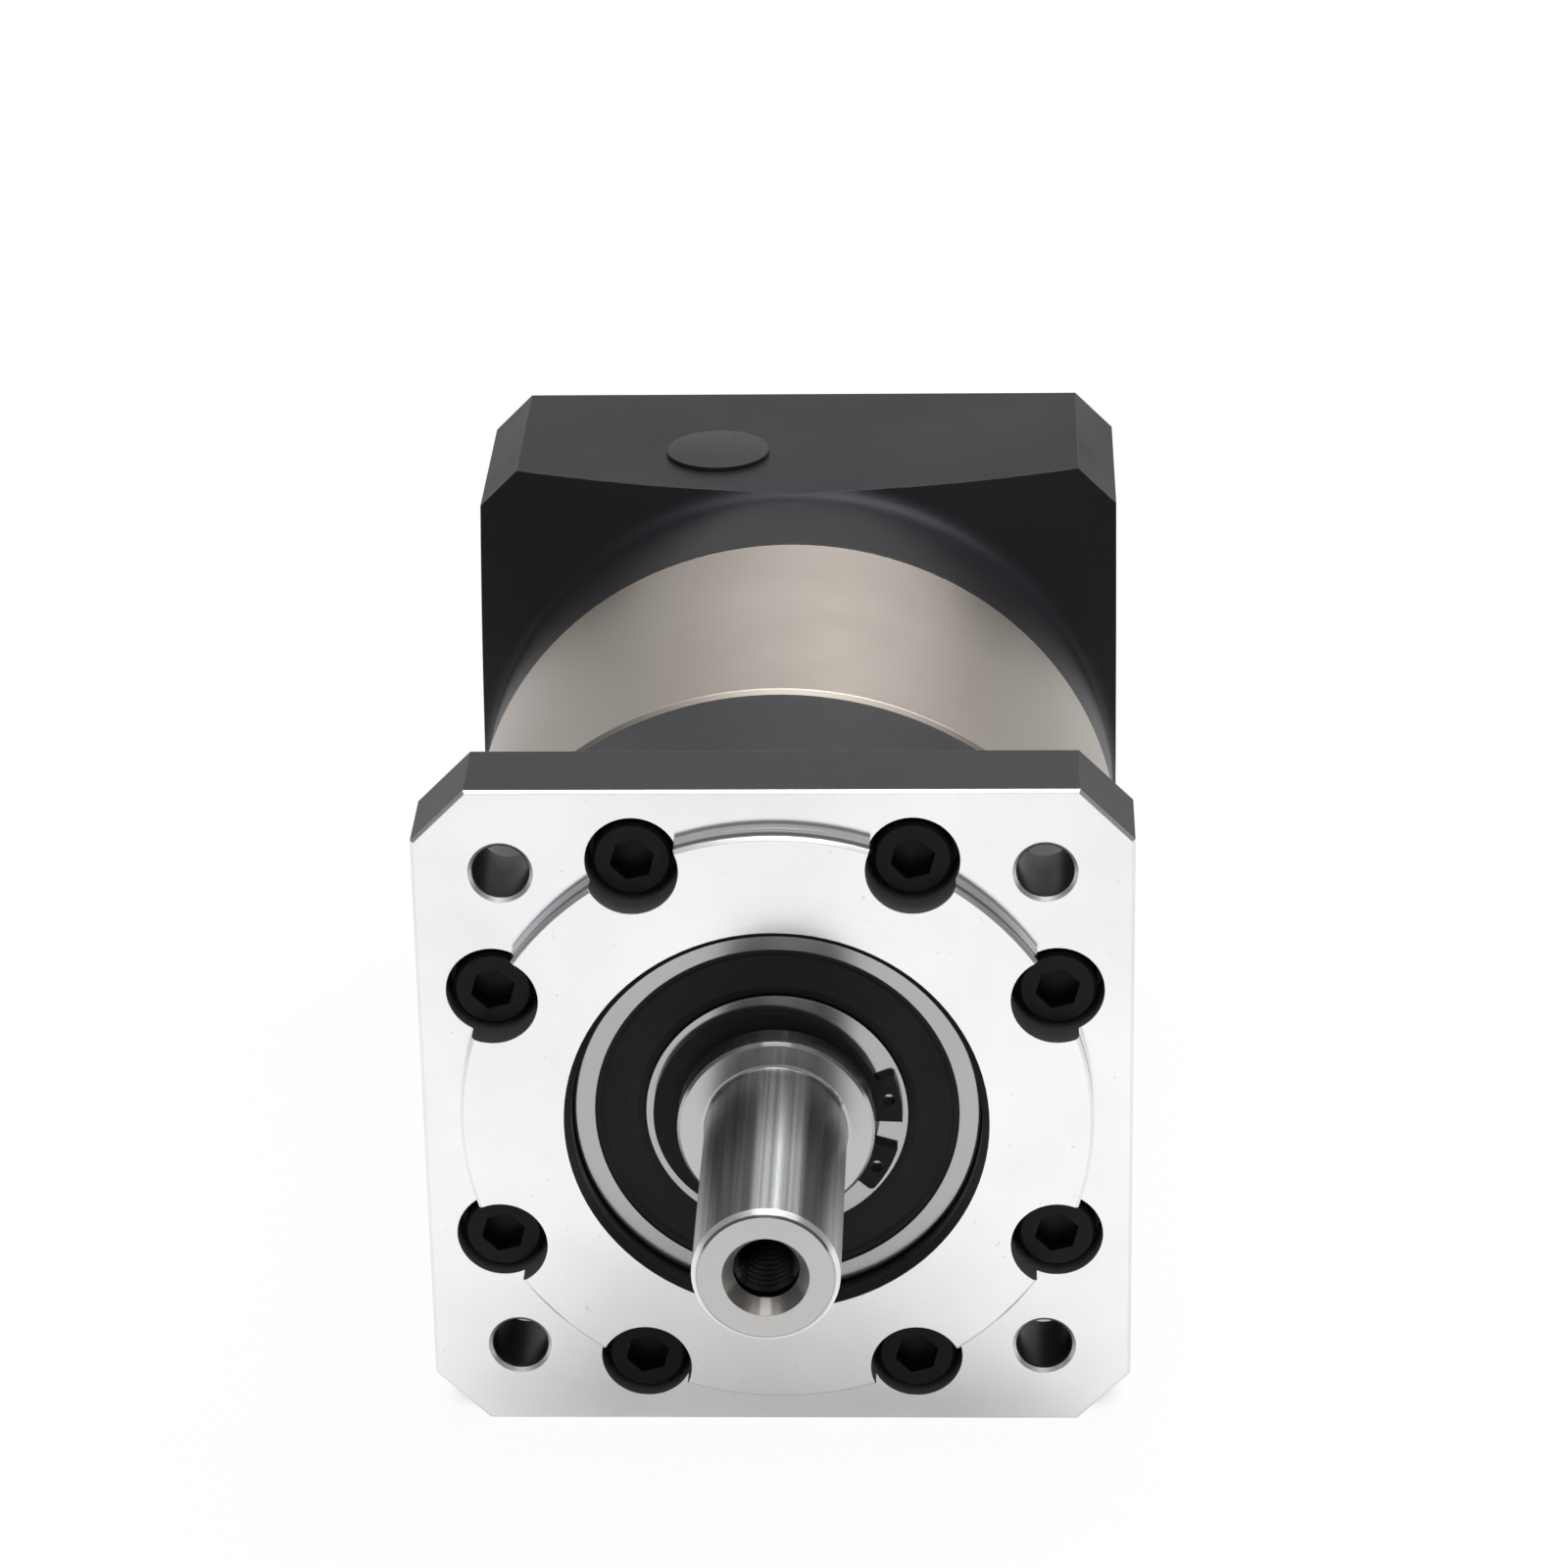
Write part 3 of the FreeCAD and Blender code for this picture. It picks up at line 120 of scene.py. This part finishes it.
# Colours of the finishes. A pair is the two ends of a cloudy or streaky change.
SHAFT_SIDES = (grey(0.34, -0.02), grey(0.47, -0.015))
SHAFT_ENDS = (grey(0.51, 0.012), grey(0.54, 0.014))
SHAFT_CONE = grey(0.5, 0.04)
SHAFT_CHAMFER = grey(1.0)
SHAFT_LIP = grey(0.45)
# painted shade: the inside of the shaft's end hole, thread included, is painted nearly black
SHAFT_HOLE_SHADE = grey(0.03, 0.02)
STEEL_SHADE = 0.93
ANODISED = ((0.0078, 0.0082, 0.0098, 1), (0.0108, 0.0112, 0.0131, 1))
ANODISED_WORN = grey(0.3)
ANODISED_TINT = (0.9, 0.9, 1.0, 1)
# painted light: a lighter copy of the anodised colour on the walls and floors of the flange's
# counterbores
BORE_PAINTED_LIGHT = (0.14, 0.14, 0.149, 1)
FACED = (grey(0.89, 0.006), grey(0.99, -0.004))
FACED_NICK = grey(0.4)
# painted reflection: a grey band round the middle of the pilot wall, where it mirrors something dark
PILOT_BAND_SHADE = grey(0.24)
NICKEL = ((0.395, 0.353, 0.312, 1), (0.43, 0.388, 0.348, 1))
NICKEL_EDGE = (0.85, 0.77, 0.68, 1)
OXIDE = (grey(0.004), grey(0.0075, 0.02))
OXIDE_WORN = grey(0.2)
RUBBER = ((0.006, 0.006, 0.007, 1), (0.01, 0.01, 0.0115, 1))
PLASTIC = ((0.017, 0.017, 0.019, 1), (0.023, 0.023, 0.0255, 1))

# The floor. Each pair of pairs is a stretch in metres, and the shares at its two ends.
FLOOR_SIZE = 8.0
FLOOR_PAINT = grey(0.9)
FLOOR_CORE = {"X": 0.45, "Y": 1.0}
GLOW_BY_DISTANCE = ((0.0, 0.035), (0.3, 1.0))
GLOW_TO_FRONT = ((-0.22, -0.1), (0.6, 1.0))
GLOW_TO_SIDES = ((0.12, 0.4), (1.0, 0.42))
SEEN_BY_DISTANCE = ((0.02, 0.2), (0.965, 1.0))
SHADE_BEHIND_FLANGE = ((0.002, 0.008), (0.0, 0.8))
SHADE_ACROSS = ((0.038, 0.045), (1.0, 0.0))

# The surroundings, by the parts of a direction: Y is behind the reducer, and below 0 the camera's side.
# The sweep fades into the ceiling at a height that is lower at the sides than straight behind.
SWEEP_TO_CEILING = ((0.45, 0.7), (1.0, 0.2))
SWEEP_LOWERED = ((0.2, 0.75), (0.62, 0.0))
ROOM_BEHIND_CAMERA = ((-0.7, -0.2), (0.8, 1.0))
AMBIENT_FROM_FRONT = ((-0.5, -0.1), (0.8, 0.25))
LEAST_HEIGHT = 0.05

# Lights that only reflections show: the brightness, and where the light begins and ends
REFLECTED_LIGHTS = {
    "panel": (0.3, {"Z": ((0.72, 0.85), None), "Y": ((-0.36, -0.22), None),
                    "slant": ((-1.0, -0.7), (1.05, 1.3))}),
    "front": (1.0, {"Z": ((0.78, 0.9), None), "Y": ((-0.36, -0.22), (0.1, 0.2))}),
    "window": (0.4, {"Y": (None, (-0.7, -0.5)), "Z": ((0.1, 0.25), (0.55, 0.7))}),
    "glint": (4.0, {"Z": ((0.89, 0.93), None), "Y": ((-0.4, -0.34), (-0.2, -0.14)),
                    "aside": (None, (0.16, 0.26))}),
}

# Lamps that shine straight down: place, size in metres, and power in watts
LAMPS = {
    "key": ((0.245, 0.35, 0.95), (1.07, 0.6), 10.0),
    "strip": ((0.19, 0.35, 0.94), (0.06, 0.6), 1.9),
}


class Nodes:
    """A tree of nodes, with short calls for what the finishes, the floor and the world share."""

    def __init__(self, tree):
        self.tree = tree
        tree.nodes.clear()

    def node(self, kind, **settings):
        made = self.tree.nodes.new(kind)
        for name, value in settings.items():
            setattr(made, name, value)
        return made

    def join(self, source, target):
        self.tree.links.new(source, target)

    def feed(self, target, value):
        """Joins an output to a socket, or sets the socket to a plain value."""
        if isinstance(value, bpy.types.NodeSocket):
            self.join(value, target)
        else:
            target.default_value = value

    def parts(self, vector):
        """The X, Y and Z of a vector."""
        made = self.node("ShaderNodeSeparateXYZ")
        self.join(vector, made.inputs[0])
        return made.outputs

    def math(self, operation, *values):
        made = self.node("ShaderNodeMath", operation=operation)
        for socket, value in zip(made.inputs, values):
            self.feed(socket, value)
        return made.outputs[0]

    def product(self, *values):
        return reduce(lambda first, second: self.math("MULTIPLY", first, second), values)

    def total(self, *values):
        return reduce(lambda first, second: self.math("ADD", first, second), values)

    def above(self, value, limit):
        return self.math("GREATER_THAN", value, limit)

    def below(self, value, limit):
        return self.math("LESS_THAN", value, limit)

    def size(self, value):
        return self.math("ABSOLUTE", value)

    def ramp(self, value, span, ends=(0.0, 1.0), course="LINEAR"):
        """Maps a value's stretch over span onto the two ends, which hold beyond it."""
        made = self.node("ShaderNodeMapRange", interpolation_type=course, clamp=True)
        for socket, entry in zip(made.inputs, (value, *span, *ends)):
            self.feed(socket, entry)
        return made.outputs[0]

    def ease(self, value, span, ends=(0.0, 1.0)):
        """A ramp that starts and stops softly."""
        return self.ramp(value, span, ends, "SMOOTHSTEP")


class Finish(Nodes):
    """A material made of nodes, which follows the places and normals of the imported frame."""

    def __init__(self, name):
        self.material = bpy.data.materials.new(name)
        self.material.use_nodes = True
        super().__init__(self.material.node_tree)
        self.surface = self.node("ShaderNodeBsdfPrincipled")
        output = self.node("ShaderNodeOutputMaterial")
        self.join(self.surface.outputs["BSDF"], output.inputs["Surface"])
        coordinates = self.node("ShaderNodeTexCoord")
        self.point = coordinates.outputs["Object"]
        self.place = self.parts(self.point)
        self.normal = self.parts(coordinates.outputs["Normal"])

    def set(self, **values):
        """Feeds the surface's sockets, with _ for each space in a socket's name."""
        for name, value in values.items():
            self.feed(self.surface.inputs[name.replace("_", " ")], value)

    def vector(self, x=0.0, y=0.0, z=0.0):
        made = self.node("ShaderNodeCombineXYZ")
        for socket, value in zip(made.inputs, (x, y, z)):
            self.feed(socket, value)
        return made.outputs[0]

    def noise(self, scale, detail=3.0, roughness=0.55, point=None):
        made = self.node("ShaderNodeTexNoise")
        self.join(point or self.point, made.inputs["Vector"])
        made.inputs["Scale"].default_value = scale
        made.inputs["Detail"].default_value = detail
        made.inputs["Roughness"].default_value = roughness
        return made.outputs["Fac"]

    def mix(self, share, first, second):
        """A colour between two colours."""
        made = self.node("ShaderNodeMix", data_type="RGBA")
        colours = [socket for socket in made.inputs if socket.type == "RGBA"]
        self.feed(made.inputs["Factor"], share)
        for socket, colour in zip(colours, (first, second)):
            self.feed(socket, colour)
        return next(socket for socket in made.outputs if socket.type == "RGBA")

    def blend(self, share, first, second):
        """A number between two numbers."""
        made = self.node("ShaderNodeMix", data_type="FLOAT")
        numbers = [socket for socket in made.inputs if socket.type == "VALUE"]
        for socket, value in zip(numbers, (share, first, second)):
            self.feed(socket, value)
        return made.outputs[0]

    def radius(self):
        """Distance from the shaft axis."""
        across = self.product(self.place["X"], self.place["X"])
        up = self.product(self.place["Z"], self.place["Z"])
        return self.math("SQRT", self.total(across, up))

    def outward(self):
        """How far the normal leans away from the shaft axis."""
        across = self.product(self.normal["X"], self.place["X"])
        up = self.product(self.normal["Z"], self.place["Z"])
        return self.math("DIVIDE", self.total(across, up), self.radius())

    def turned_marks(self, scale):
        """Noise that runs in rings about the shaft axis, as a lathe leaves it."""
        return self.noise(scale, detail=2.0, roughness=0.6,
                          point=self.vector(self.radius(), self.place["Y"]))

    def rounded(self, radius):
        """The normal over edges that are rounded to a small radius."""
        made = self.node("ShaderNodeBevel", samples=ROUNDING_SAMPLES)
        made.inputs["Radius"].default_value = radius
        return made.outputs["Normal"]

    def bump(self, height, strength, distance=FINE_RELIEF):
        """Sets the surface's normal from a height, over rounded edges."""
        made = self.node("ShaderNodeBump")
        made.inputs["Strength"].default_value = strength
        made.inputs["Distance"].default_value = distance
        self.join(height, made.inputs["Height"])
        self.join(self.rounded(EDGE_ROUNDING), made.inputs["Normal"])
        self.set(Normal=made.outputs["Normal"])

    def edges(self, radius):
        """Near 1 on edges and 0 on flats."""
        geometry = self.node("ShaderNodeNewGeometry")
        likeness = self.node("ShaderNodeVectorMath", operation="DOT_PRODUCT")
        self.join(self.rounded(radius), likeness.inputs[0])
        self.join(geometry.outputs["True Normal"], likeness.inputs[1])
        return self.ramp(likeness.outputs["Value"], EDGE_LIKENESS, (1.0, 0.0))

    def radial_tangent(self):
        """Stretches highlights across the rings that turning leaves."""
        tangent = self.node("ShaderNodeTangent", direction_type="RADIAL", axis="Y")
        self.set(Tangent=tangent.outputs["Tangent"], Anisotropic_Rotation=QUARTER_TURN)


def turned_metal(name, colour, roughness, anisotropy, marks=2600.0, mark_strength=0.04):
    """Bright steel with fine rings from turning or grinding."""
    finish = Finish(name)
    rings = finish.turned_marks(marks)
    cloud = finish.noise(scale=60.0, detail=4.0)
    darker = tuple(STEEL_SHADE * channel for channel in colour[:3]) + (1.0,)
    tone = finish.ramp(finish.product(rings, cloud), span=(0.12, 0.4))
    finish.set(Base_Color=finish.mix(tone, darker, colour), Metallic=1.0, Anisotropic=anisotropy,
               Roughness=finish.ramp(rings, WIDE, (roughness * 0.92, roughness * 1.08)))
    finish.radial_tangent()
    finish.bump(rings, mark_strength)
    return finish.material


def ground_shaft():
    """The output shaft: ground round, with faint streaks along it, turned ends, and painted shade in its
    end hole.
    """
    finish = Finish("shaft_steel")
    place, radius, outward = finish.place, finish.radius(), finish.outward()
    along = finish.size(finish.normal["Y"])
    ends = finish.ramp(along, span=(0.5, 0.75))
    # where painted shade goes: everything inside the end hole
    hole_shade = finish.below(radius, HOLE_RADIUS)
    cone = finish.product(finish.below(outward, -CHAMFER_LEAN), finish.above(radius, HOLE_RADIUS))
    chamfer = finish.product(finish.above(outward, CHAMFER_LEAN), finish.above(along, CHAMFER_LEAN),
                             finish.below(place["Y"], SHAFT_TIP + END_CHAMFER))
    lip = finish.ramp(place["Y"], END_LIP, (1.0, 0.0))

    cloud = finish.noise(scale=60.0, detail=4.0)
    streaks = finish.noise(scale=1500.0, detail=2.0, roughness=0.6,
                           point=finish.vector(x=place["X"], z=place["Z"]))
    sides = finish.mix(finish.ramp(streaks, SHARP), *SHAFT_SIDES)
    colour = finish.mix(ends, sides, finish.mix(cloud, *SHAFT_ENDS))
    colour = finish.mix(cone, colour, SHAFT_CONE)
    colour = finish.mix(chamfer, colour, finish.mix(lip, SHAFT_CHAMFER, SHAFT_LIP))
    # painted shade over the end hole and its thread
    colour = finish.mix(hole_shade, colour, SHAFT_HOLE_SHADE)

    sides_roughness = finish.ramp(streaks, MIDDLE, (0.24, 0.26))
    ends_roughness = finish.ramp(cloud, MIDDLE, (0.14, 0.19))
    cone_roughness = 0.26
    chamfer_roughness = finish.blend(lip, 0.42, 0.1)
    roughness = finish.blend(ends, sides_roughness, ends_roughness)
    roughness = finish.blend(cone, roughness, cone_roughness)
    roughness = finish.blend(chamfer, roughness, chamfer_roughness)
    finish.set(Base_Color=colour, Metallic=1.0, Anisotropic=1.0, Roughness=roughness)
    finish.radial_tangent()
    finish.bump(finish.turned_marks(scale=3000.0), strength=0.006)
    return finish.material


def anodised_nodes(finish, roughness):
    """Colour, roughness and height of dark anodised aluminium, worn along its edges."""
    cloud = finish.noise(scale=45.0, detail=5.0)
    grain = finish.noise(scale=5200.0, detail=2.0)
    wear = finish.product(finish.edges(0.2 * MM), finish.noise(scale=420.0))
    worn = finish.ramp(wear, span=(0.25, 0.6), ends=(0.0, 0.35))
    colour = finish.mix(worn, finish.mix(cloud, *ANODISED), ANODISED_WORN)
    return colour, finish.ramp(cloud, MIDDLE, roughness), grain


def anodised():
    """The dark adapter behind the sleeve."""
    finish = Finish("anodised_rear")
    colour, roughness, grain = anodised_nodes(finish, roughness=(0.4, 0.5))
    finish.set(Base_Color=colour, Roughness=roughness, Metallic=0.0,
               Specular_IOR_Level=0.235, Specular_Tint=ANODISED_TINT)
    finish.bump(grain, strength=0.05)
    return finish.material


def anodised_and_faced():
    """Dark anodised aluminium whose front faces and pilot were turned bright afterwards."""
    finish = Finish("anodised_front")
    dark, dark_roughness, grain = anodised_nodes(finish, roughness=(0.36, 0.46))
    place, radius, lean = finish.place, finish.radius(), finish.normal["Y"]
    around_seat = finish.above(radius, BEARING_SEAT)
    edge = finish.product(finish.below(lean, -CHAMFER_LEAN), around_seat)
    edge_or_face = finish.math("MAXIMUM", finish.below(lean, -FLAT_LEAN), edge)
    broken_edge = finish.product(edge, finish.above(lean, -FLAT_LEAN))
    wall = finish.product(finish.above(finish.outward(), WALL_LEAN),
                          finish.above(radius, PILOT_WALL[0]), finish.below(radius, PILOT_WALL[1]))
    faced = finish.product(finish.below(place["Y"], FLANGE_FACE),
                           finish.math("MAXIMUM", edge_or_face, wall))

    across, up = finish.size(place["X"]), finish.size(place["Z"])
    # painted light inside the counterbores: the anodised colour is lightened there
    bore_light = finish.product(finish.below(finish.math("MAXIMUM", across, up), FLANGE_INSIDE),
                           finish.below(finish.math("MINIMUM", across, up), CORNER_HOLES),
                           finish.below(place["Y"], COUNTERBORE_FLOOR), around_seat)
    dark = finish.mix(bore_light, dark, BORE_PAINTED_LIGHT)

    rings = finish.turned_marks(scale=2400.0)
    stains = finish.ramp(finish.noise(scale=30.0, detail=4.0), NARROW)
    nicks = finish.ramp(finish.noise(scale=900.0, detail=2.0), span=(0.72, 0.77), ends=(0.0, 0.3))
    # painted dark reflection: a grey band round the middle of the pilot wall
    painted_band = finish.product(wall, finish.ramp(place["Y"], PILOT_SHADE_START),
                            finish.ramp(place["Y"], PILOT_SHADE_END, (1.0, 0.0)))
    bright = finish.mix(nicks, finish.mix(stains, *FACED), FACED_NICK)
    bright = finish.mix(painted_band, bright, PILOT_BAND_SHADE)

    wall_roughness = 0.3
    broken_edge_roughness = 0.4
    roughness = finish.blend(wall, finish.ramp(rings, WIDE, (0.13, 0.18)), wall_roughness)
    roughness = finish.blend(broken_edge, roughness, broken_edge_roughness)
    finish.set(Base_Color=finish.mix(faced, dark, bright), Metallic=faced, Anisotropic=0.3,
               Specular_IOR_Level=0.38, Specular_Tint=ANODISED_TINT,
               Roughness=finish.blend(faced, dark_roughness, roughness))
    finish.radial_tangent()
    finish.bump(finish.blend(faced, grain, rings), strength=0.03)
    return finish.material


def satin_nickel():
    """The sleeve: warm satin nickel with faint stains, fine turned rings and bright edges."""
    finish = Finish("nickel_sleeve")
    rings = finish.turned_marks(scale=1900.0)
    stain = finish.noise(scale=26.0, detail=5.0, roughness=0.6)
    colour = finish.mix(finish.ramp(stain, NARROW), *NICKEL)
    end_share = 0.3
    ends = finish.product(finish.above(finish.size(finish.normal["Y"]), CHAMFER_LEAN), end_share)
    edge = finish.math("MAXIMUM", finish.edges(0.25 * MM), ends)
    edge_roughness = 0.5
    roughness = finish.blend(edge, finish.ramp(stain, MIDDLE, (0.34, 0.39)), edge_roughness)
    finish.set(Base_Color=finish.mix(edge, colour, NICKEL_EDGE), Metallic=1.0, Anisotropic=0.5,
               Roughness=roughness)
    finish.radial_tangent()
    finish.bump(rings, strength=0.05)
    return finish.material


def black_oxide():
    """Screws and retaining rings: oiled black steel, a little worn along its edges."""
    finish = Finish("black_oxide")
    cloud = finish.noise(scale=700.0)
    wear = finish.product(finish.edges(0.15 * MM), finish.noise(scale=1500.0, detail=2.0))
    worn = finish.ramp(wear, MIDDLE, (0.0, 0.12))
    finish.set(Base_Color=finish.mix(worn, finish.mix(cloud, *OXIDE), OXIDE_WORN),
               Metallic=0.0, Specular_IOR_Level=0.17,
               Roughness=finish.ramp(cloud, MIDDLE, (0.34, 0.5)))
    finish.bump(cloud, strength=0.06, distance=COARSE_RELIEF)
    return finish.material


def rubber():
    """Seals and O-rings."""
    finish = Finish("seal_rubber")
    grain = finish.noise(scale=3800.0, detail=2.0)
    cloud = finish.noise(scale=90.0)
    finish.set(Base_Color=finish.mix(cloud, *RUBBER), Metallic=0.0, Specular_IOR_Level=0.22,
               Roughness=finish.ramp(cloud, MIDDLE, (0.42, 0.55)))
    finish.bump(grain, strength=0.12)
    return finish.material


def moulded_plastic():
    """The plug on the adapter's block."""
    finish = Finish("plug_plastic")
    grain = finish.noise(scale=2400.0)
    cloud = finish.noise(scale=120.0)
    finish.set(Base_Color=finish.mix(cloud, *PLASTIC), Metallic=0.0, Specular_IOR_Level=0.3,
               Roughness=finish.ramp(grain, MIDDLE, (0.42, 0.56)))
    finish.bump(grain, strength=0.15, distance=COARSE_RELIEF)
    return finish.material


def finishes():
    return {
        "anodised_front": anodised_and_faced(),
        "anodised_rear": anodised(),
        "nickel_sleeve": satin_nickel(),
        "shaft_steel": ground_shaft(),
        "bearing_steel": turned_metal("bearing_steel", grey(0.46, 0.022), roughness=0.16, anisotropy=0.5,
                                      marks=3200.0, mark_strength=0.02),
        "black_oxide": black_oxide(),
        "seal_rubber": rubber(),
        "gear_steel": turned_metal("gear_steel", grey(0.5), roughness=0.3, anisotropy=0.2),
        "ground_steel": turned_metal("ground_steel", grey(0.55), roughness=0.24, anisotropy=0.4),
        "pressed_cage": turned_metal("pressed_cage", grey(0.5, 0.05), roughness=0.35, anisotropy=0.0),
        "plug_plastic": moulded_plastic(),
    }


def dress():
    """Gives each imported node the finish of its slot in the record."""
    made = finishes()
    for entry in frame["record"]["subparts"]:
        slots = frame["nodes"][entry["node"]].data.materials
        slots.clear()
        slots.append(made[entry["material_slot"]])


def add_thread():
    """The ridge of the thread in the shaft's end, wound inside the plain hole."""
    profile = ((THREAD_RADIUS, -THREAD_FLANK), (THREAD_CREST, -THREAD_LAND),
               (THREAD_CREST, THREAD_LAND), (THREAD_RADIUS, THREAD_FLANK))
    shape = bmesh.new()
    sections = []
    for step in range(int((THREAD_END - THREAD_START) / THREAD_PITCH * THREAD_STEPS) + 1):
        angle = 2 * math.pi * step / THREAD_STEPS
        station = SHAFT_TIP + THREAD_START + THREAD_PITCH * step / THREAD_STEPS
        corners = [(radius * math.cos(angle), station + rise, radius * math.sin(angle))
                   for radius, rise in profile]
        sections.append([shape.verts.new(corner) for corner in corners])
    for first, second in zip(sections, sections[1:]):
        for index in range(len(profile)):
            after = (index + 1) % len(profile)
            shape.faces.new((first[index], second[index], second[after], first[after]))
    shape.faces.new(sections[0])
    shape.faces.new(list(reversed(sections[-1])))
    bmesh.ops.recalc_face_normals(shape, faces=shape.faces)
    mesh = bpy.data.meshes.new("shaft_end_thread")
    shape.to_mesh(mesh)
    shape.free()
    thread = bpy.data.objects.new("shaft_end_thread", mesh)
    bpy.context.scene.collection.objects.link(thread)
    mesh.materials.append(frame["nodes"]["output_shaft"].data.materials[0])
    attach(thread, "carrier")


def add_camera():
    data = bpy.data.cameras.new("camera")
    data.lens = CAMERA_LENS
    data.sensor_width = CAMERA_SENSOR
    data.sensor_fit = "HORIZONTAL"
    data.clip_start, data.clip_end = CAMERA_CLIP
    camera = bpy.data.objects.new("camera", data)
    bpy.context.scene.collection.objects.link(camera)
    back = -CAMERA_FORWARD.normalized()
    up = back.cross(CAMERA_RIGHT).normalized()
    turn = Matrix((up.cross(back), up, back)).transposed()
    camera.matrix_world = Matrix.Translation(CAMERA_PLACE) @ turn.to_4x4()
    bpy.context.scene.camera = camera


def floor_share(nodes):
    """How much of the floor glows, by the kind of ray. The rest is paint, which takes the shadow.

    To the camera nearly all of it glows white, but not under the body behind the flange. In
    reflections it is dimmer close to the reducer, in front of it and far to its sides."""
    place = nodes.parts(nodes.node("ShaderNodeNewGeometry").outputs["Position"])
    squares = []
    for axis, (name, part) in enumerate(FLOOR_CORE.items()):
        middle = (cad_box[0][axis] + cad_box[1][axis]) / 2
        half = part * (cad_box[1][axis] - cad_box[0][axis]) / 2
        away = nodes.size(nodes.math("SUBTRACT", place[name], middle))
        beyond = nodes.math("MAXIMUM", nodes.math("SUBTRACT", away, half), 0.0)
        squares.append(nodes.product(beyond, beyond))
    distance = nodes.math("SQRT", nodes.total(*squares))
    aside = nodes.size(place["X"])
    path = nodes.node("ShaderNodeLightPath").outputs
    mirrored = nodes.product(nodes.math("MAXIMUM", path["Is Glossy Ray"], path["Is Transmission Ray"]),
                             nodes.ease(place["Y"], *GLOW_TO_FRONT),
                             nodes.ease(aside, *GLOW_TO_SIDES),
                             nodes.ease(distance, *GLOW_BY_DISTANCE))
    shade = nodes.product(nodes.ease(place["Y"], *SHADE_BEHIND_FLANGE), nodes.ease(aside, *SHADE_ACROSS))
    seen = nodes.product(path["Is Camera Ray"], nodes.ease(distance, *SEEN_BY_DISTANCE),
                         nodes.math("SUBTRACT", 1.0, shade))
    return nodes.total(mirrored, seen)


def add_floor():
    """A white floor under the reducer that still takes its shadow."""
    mesh = bpy.data.meshes.new("floor")
    shape = bmesh.new()
    bmesh.ops.create_grid(shape, x_segments=1, y_segments=1, size=FLOOR_SIZE)
    shape.to_mesh(mesh)
    shape.free()
    floor = bpy.data.objects.new("floor", mesh)
    floor.location.z = cad_box[0][2]
    bpy.context.scene.collection.objects.link(floor)
    material = bpy.data.materials.new("floor")
    material.use_nodes = True
    nodes = Nodes(material.node_tree)
    paint = nodes.node("ShaderNodeBsdfDiffuse")
    paint.inputs["Color"].default_value = FLOOR_PAINT
    mixed = nodes.node("ShaderNodeMixShader")
    nodes.join(floor_share(nodes), mixed.inputs["Fac"])
    nodes.join(paint.outputs[0], mixed.inputs[1])
    nodes.join(nodes.node("ShaderNodeEmission").outputs[0], mixed.inputs[2])
    nodes.join(mixed.outputs[0], nodes.node("ShaderNodeOutputMaterial").inputs["Surface"])
    mesh.materials.append(material)


def reflected_light(nodes, direction, brightness, limits):
    """A patch of light with soft limits, each a stretch where it begins or where it ends."""
    shares = [brightness]
    for name, (start, end) in limits.items():
        if start:
            shares.append(nodes.ease(direction[name], start))
        if end:
            shares.append(nodes.ease(direction[name], end, (1.0, 0.0)))
    return nodes.product(*shares)


def add_world():
    """White to the camera, and a soft ambient light that comes mostly from the front. In
    reflections, a white sweep behind and beside the reducer, a dim ceiling, a slightly dimmer room
    behind the camera, and the reflected lights."""
    world = bpy.data.worlds.new("studio")
    bpy.context.scene.world = world
    world.use_nodes = True
    nodes = Nodes(world.node_tree)
    parts = nodes.parts(nodes.node("ShaderNodeTexCoord").outputs["Generated"])
    direction = {axis: parts[axis] for axis in "XYZ"}
    direction["aside"] = nodes.size(direction["X"])
    direction["slant"] = nodes.math("DIVIDE", direction["X"],
                                    nodes.math("MAXIMUM", direction["Z"], LEAST_HEIGHT))
    height = nodes.total(direction["Z"], nodes.ramp(direction["Y"], *SWEEP_LOWERED))
    sweep = nodes.product(nodes.ease(height, *SWEEP_TO_CEILING),
                          nodes.ease(direction["Y"], *ROOM_BEHIND_CAMERA))
    lights = [reflected_light(nodes, direction, *light) for light in REFLECTED_LIGHTS.values()]

    path = nodes.node("ShaderNodeLightPath").outputs
    mirrored = nodes.product(path["Is Glossy Ray"], nodes.total(sweep, *lights))
    seen = nodes.math("MAXIMUM", path["Is Camera Ray"], path["Is Transmission Ray"])
    ambient = nodes.product(path["Is Diffuse Ray"], nodes.ease(direction["Y"], *AMBIENT_FROM_FRONT))
    background = nodes.node("ShaderNodeBackground")
    nodes.join(nodes.total(mirrored, seen, ambient), background.inputs["Strength"])
    nodes.join(background.outputs[0], nodes.node("ShaderNodeOutputWorld").inputs["Surface"])


def add_lamps():
    for name, (place, size, power) in LAMPS.items():
        data = bpy.data.lights.new(name, "AREA")
        data.shape = "RECTANGLE"
        data.size, data.size_y = size
        data.energy = power
        lamp = bpy.data.objects.new(name, data)
        lamp.location = place
        bpy.context.scene.collection.objects.link(lamp)


dress()
add_thread()
add_camera()
add_floor()
add_world()
add_lamps()
bpy.context.scene.view_settings.view_transform = "Standard"
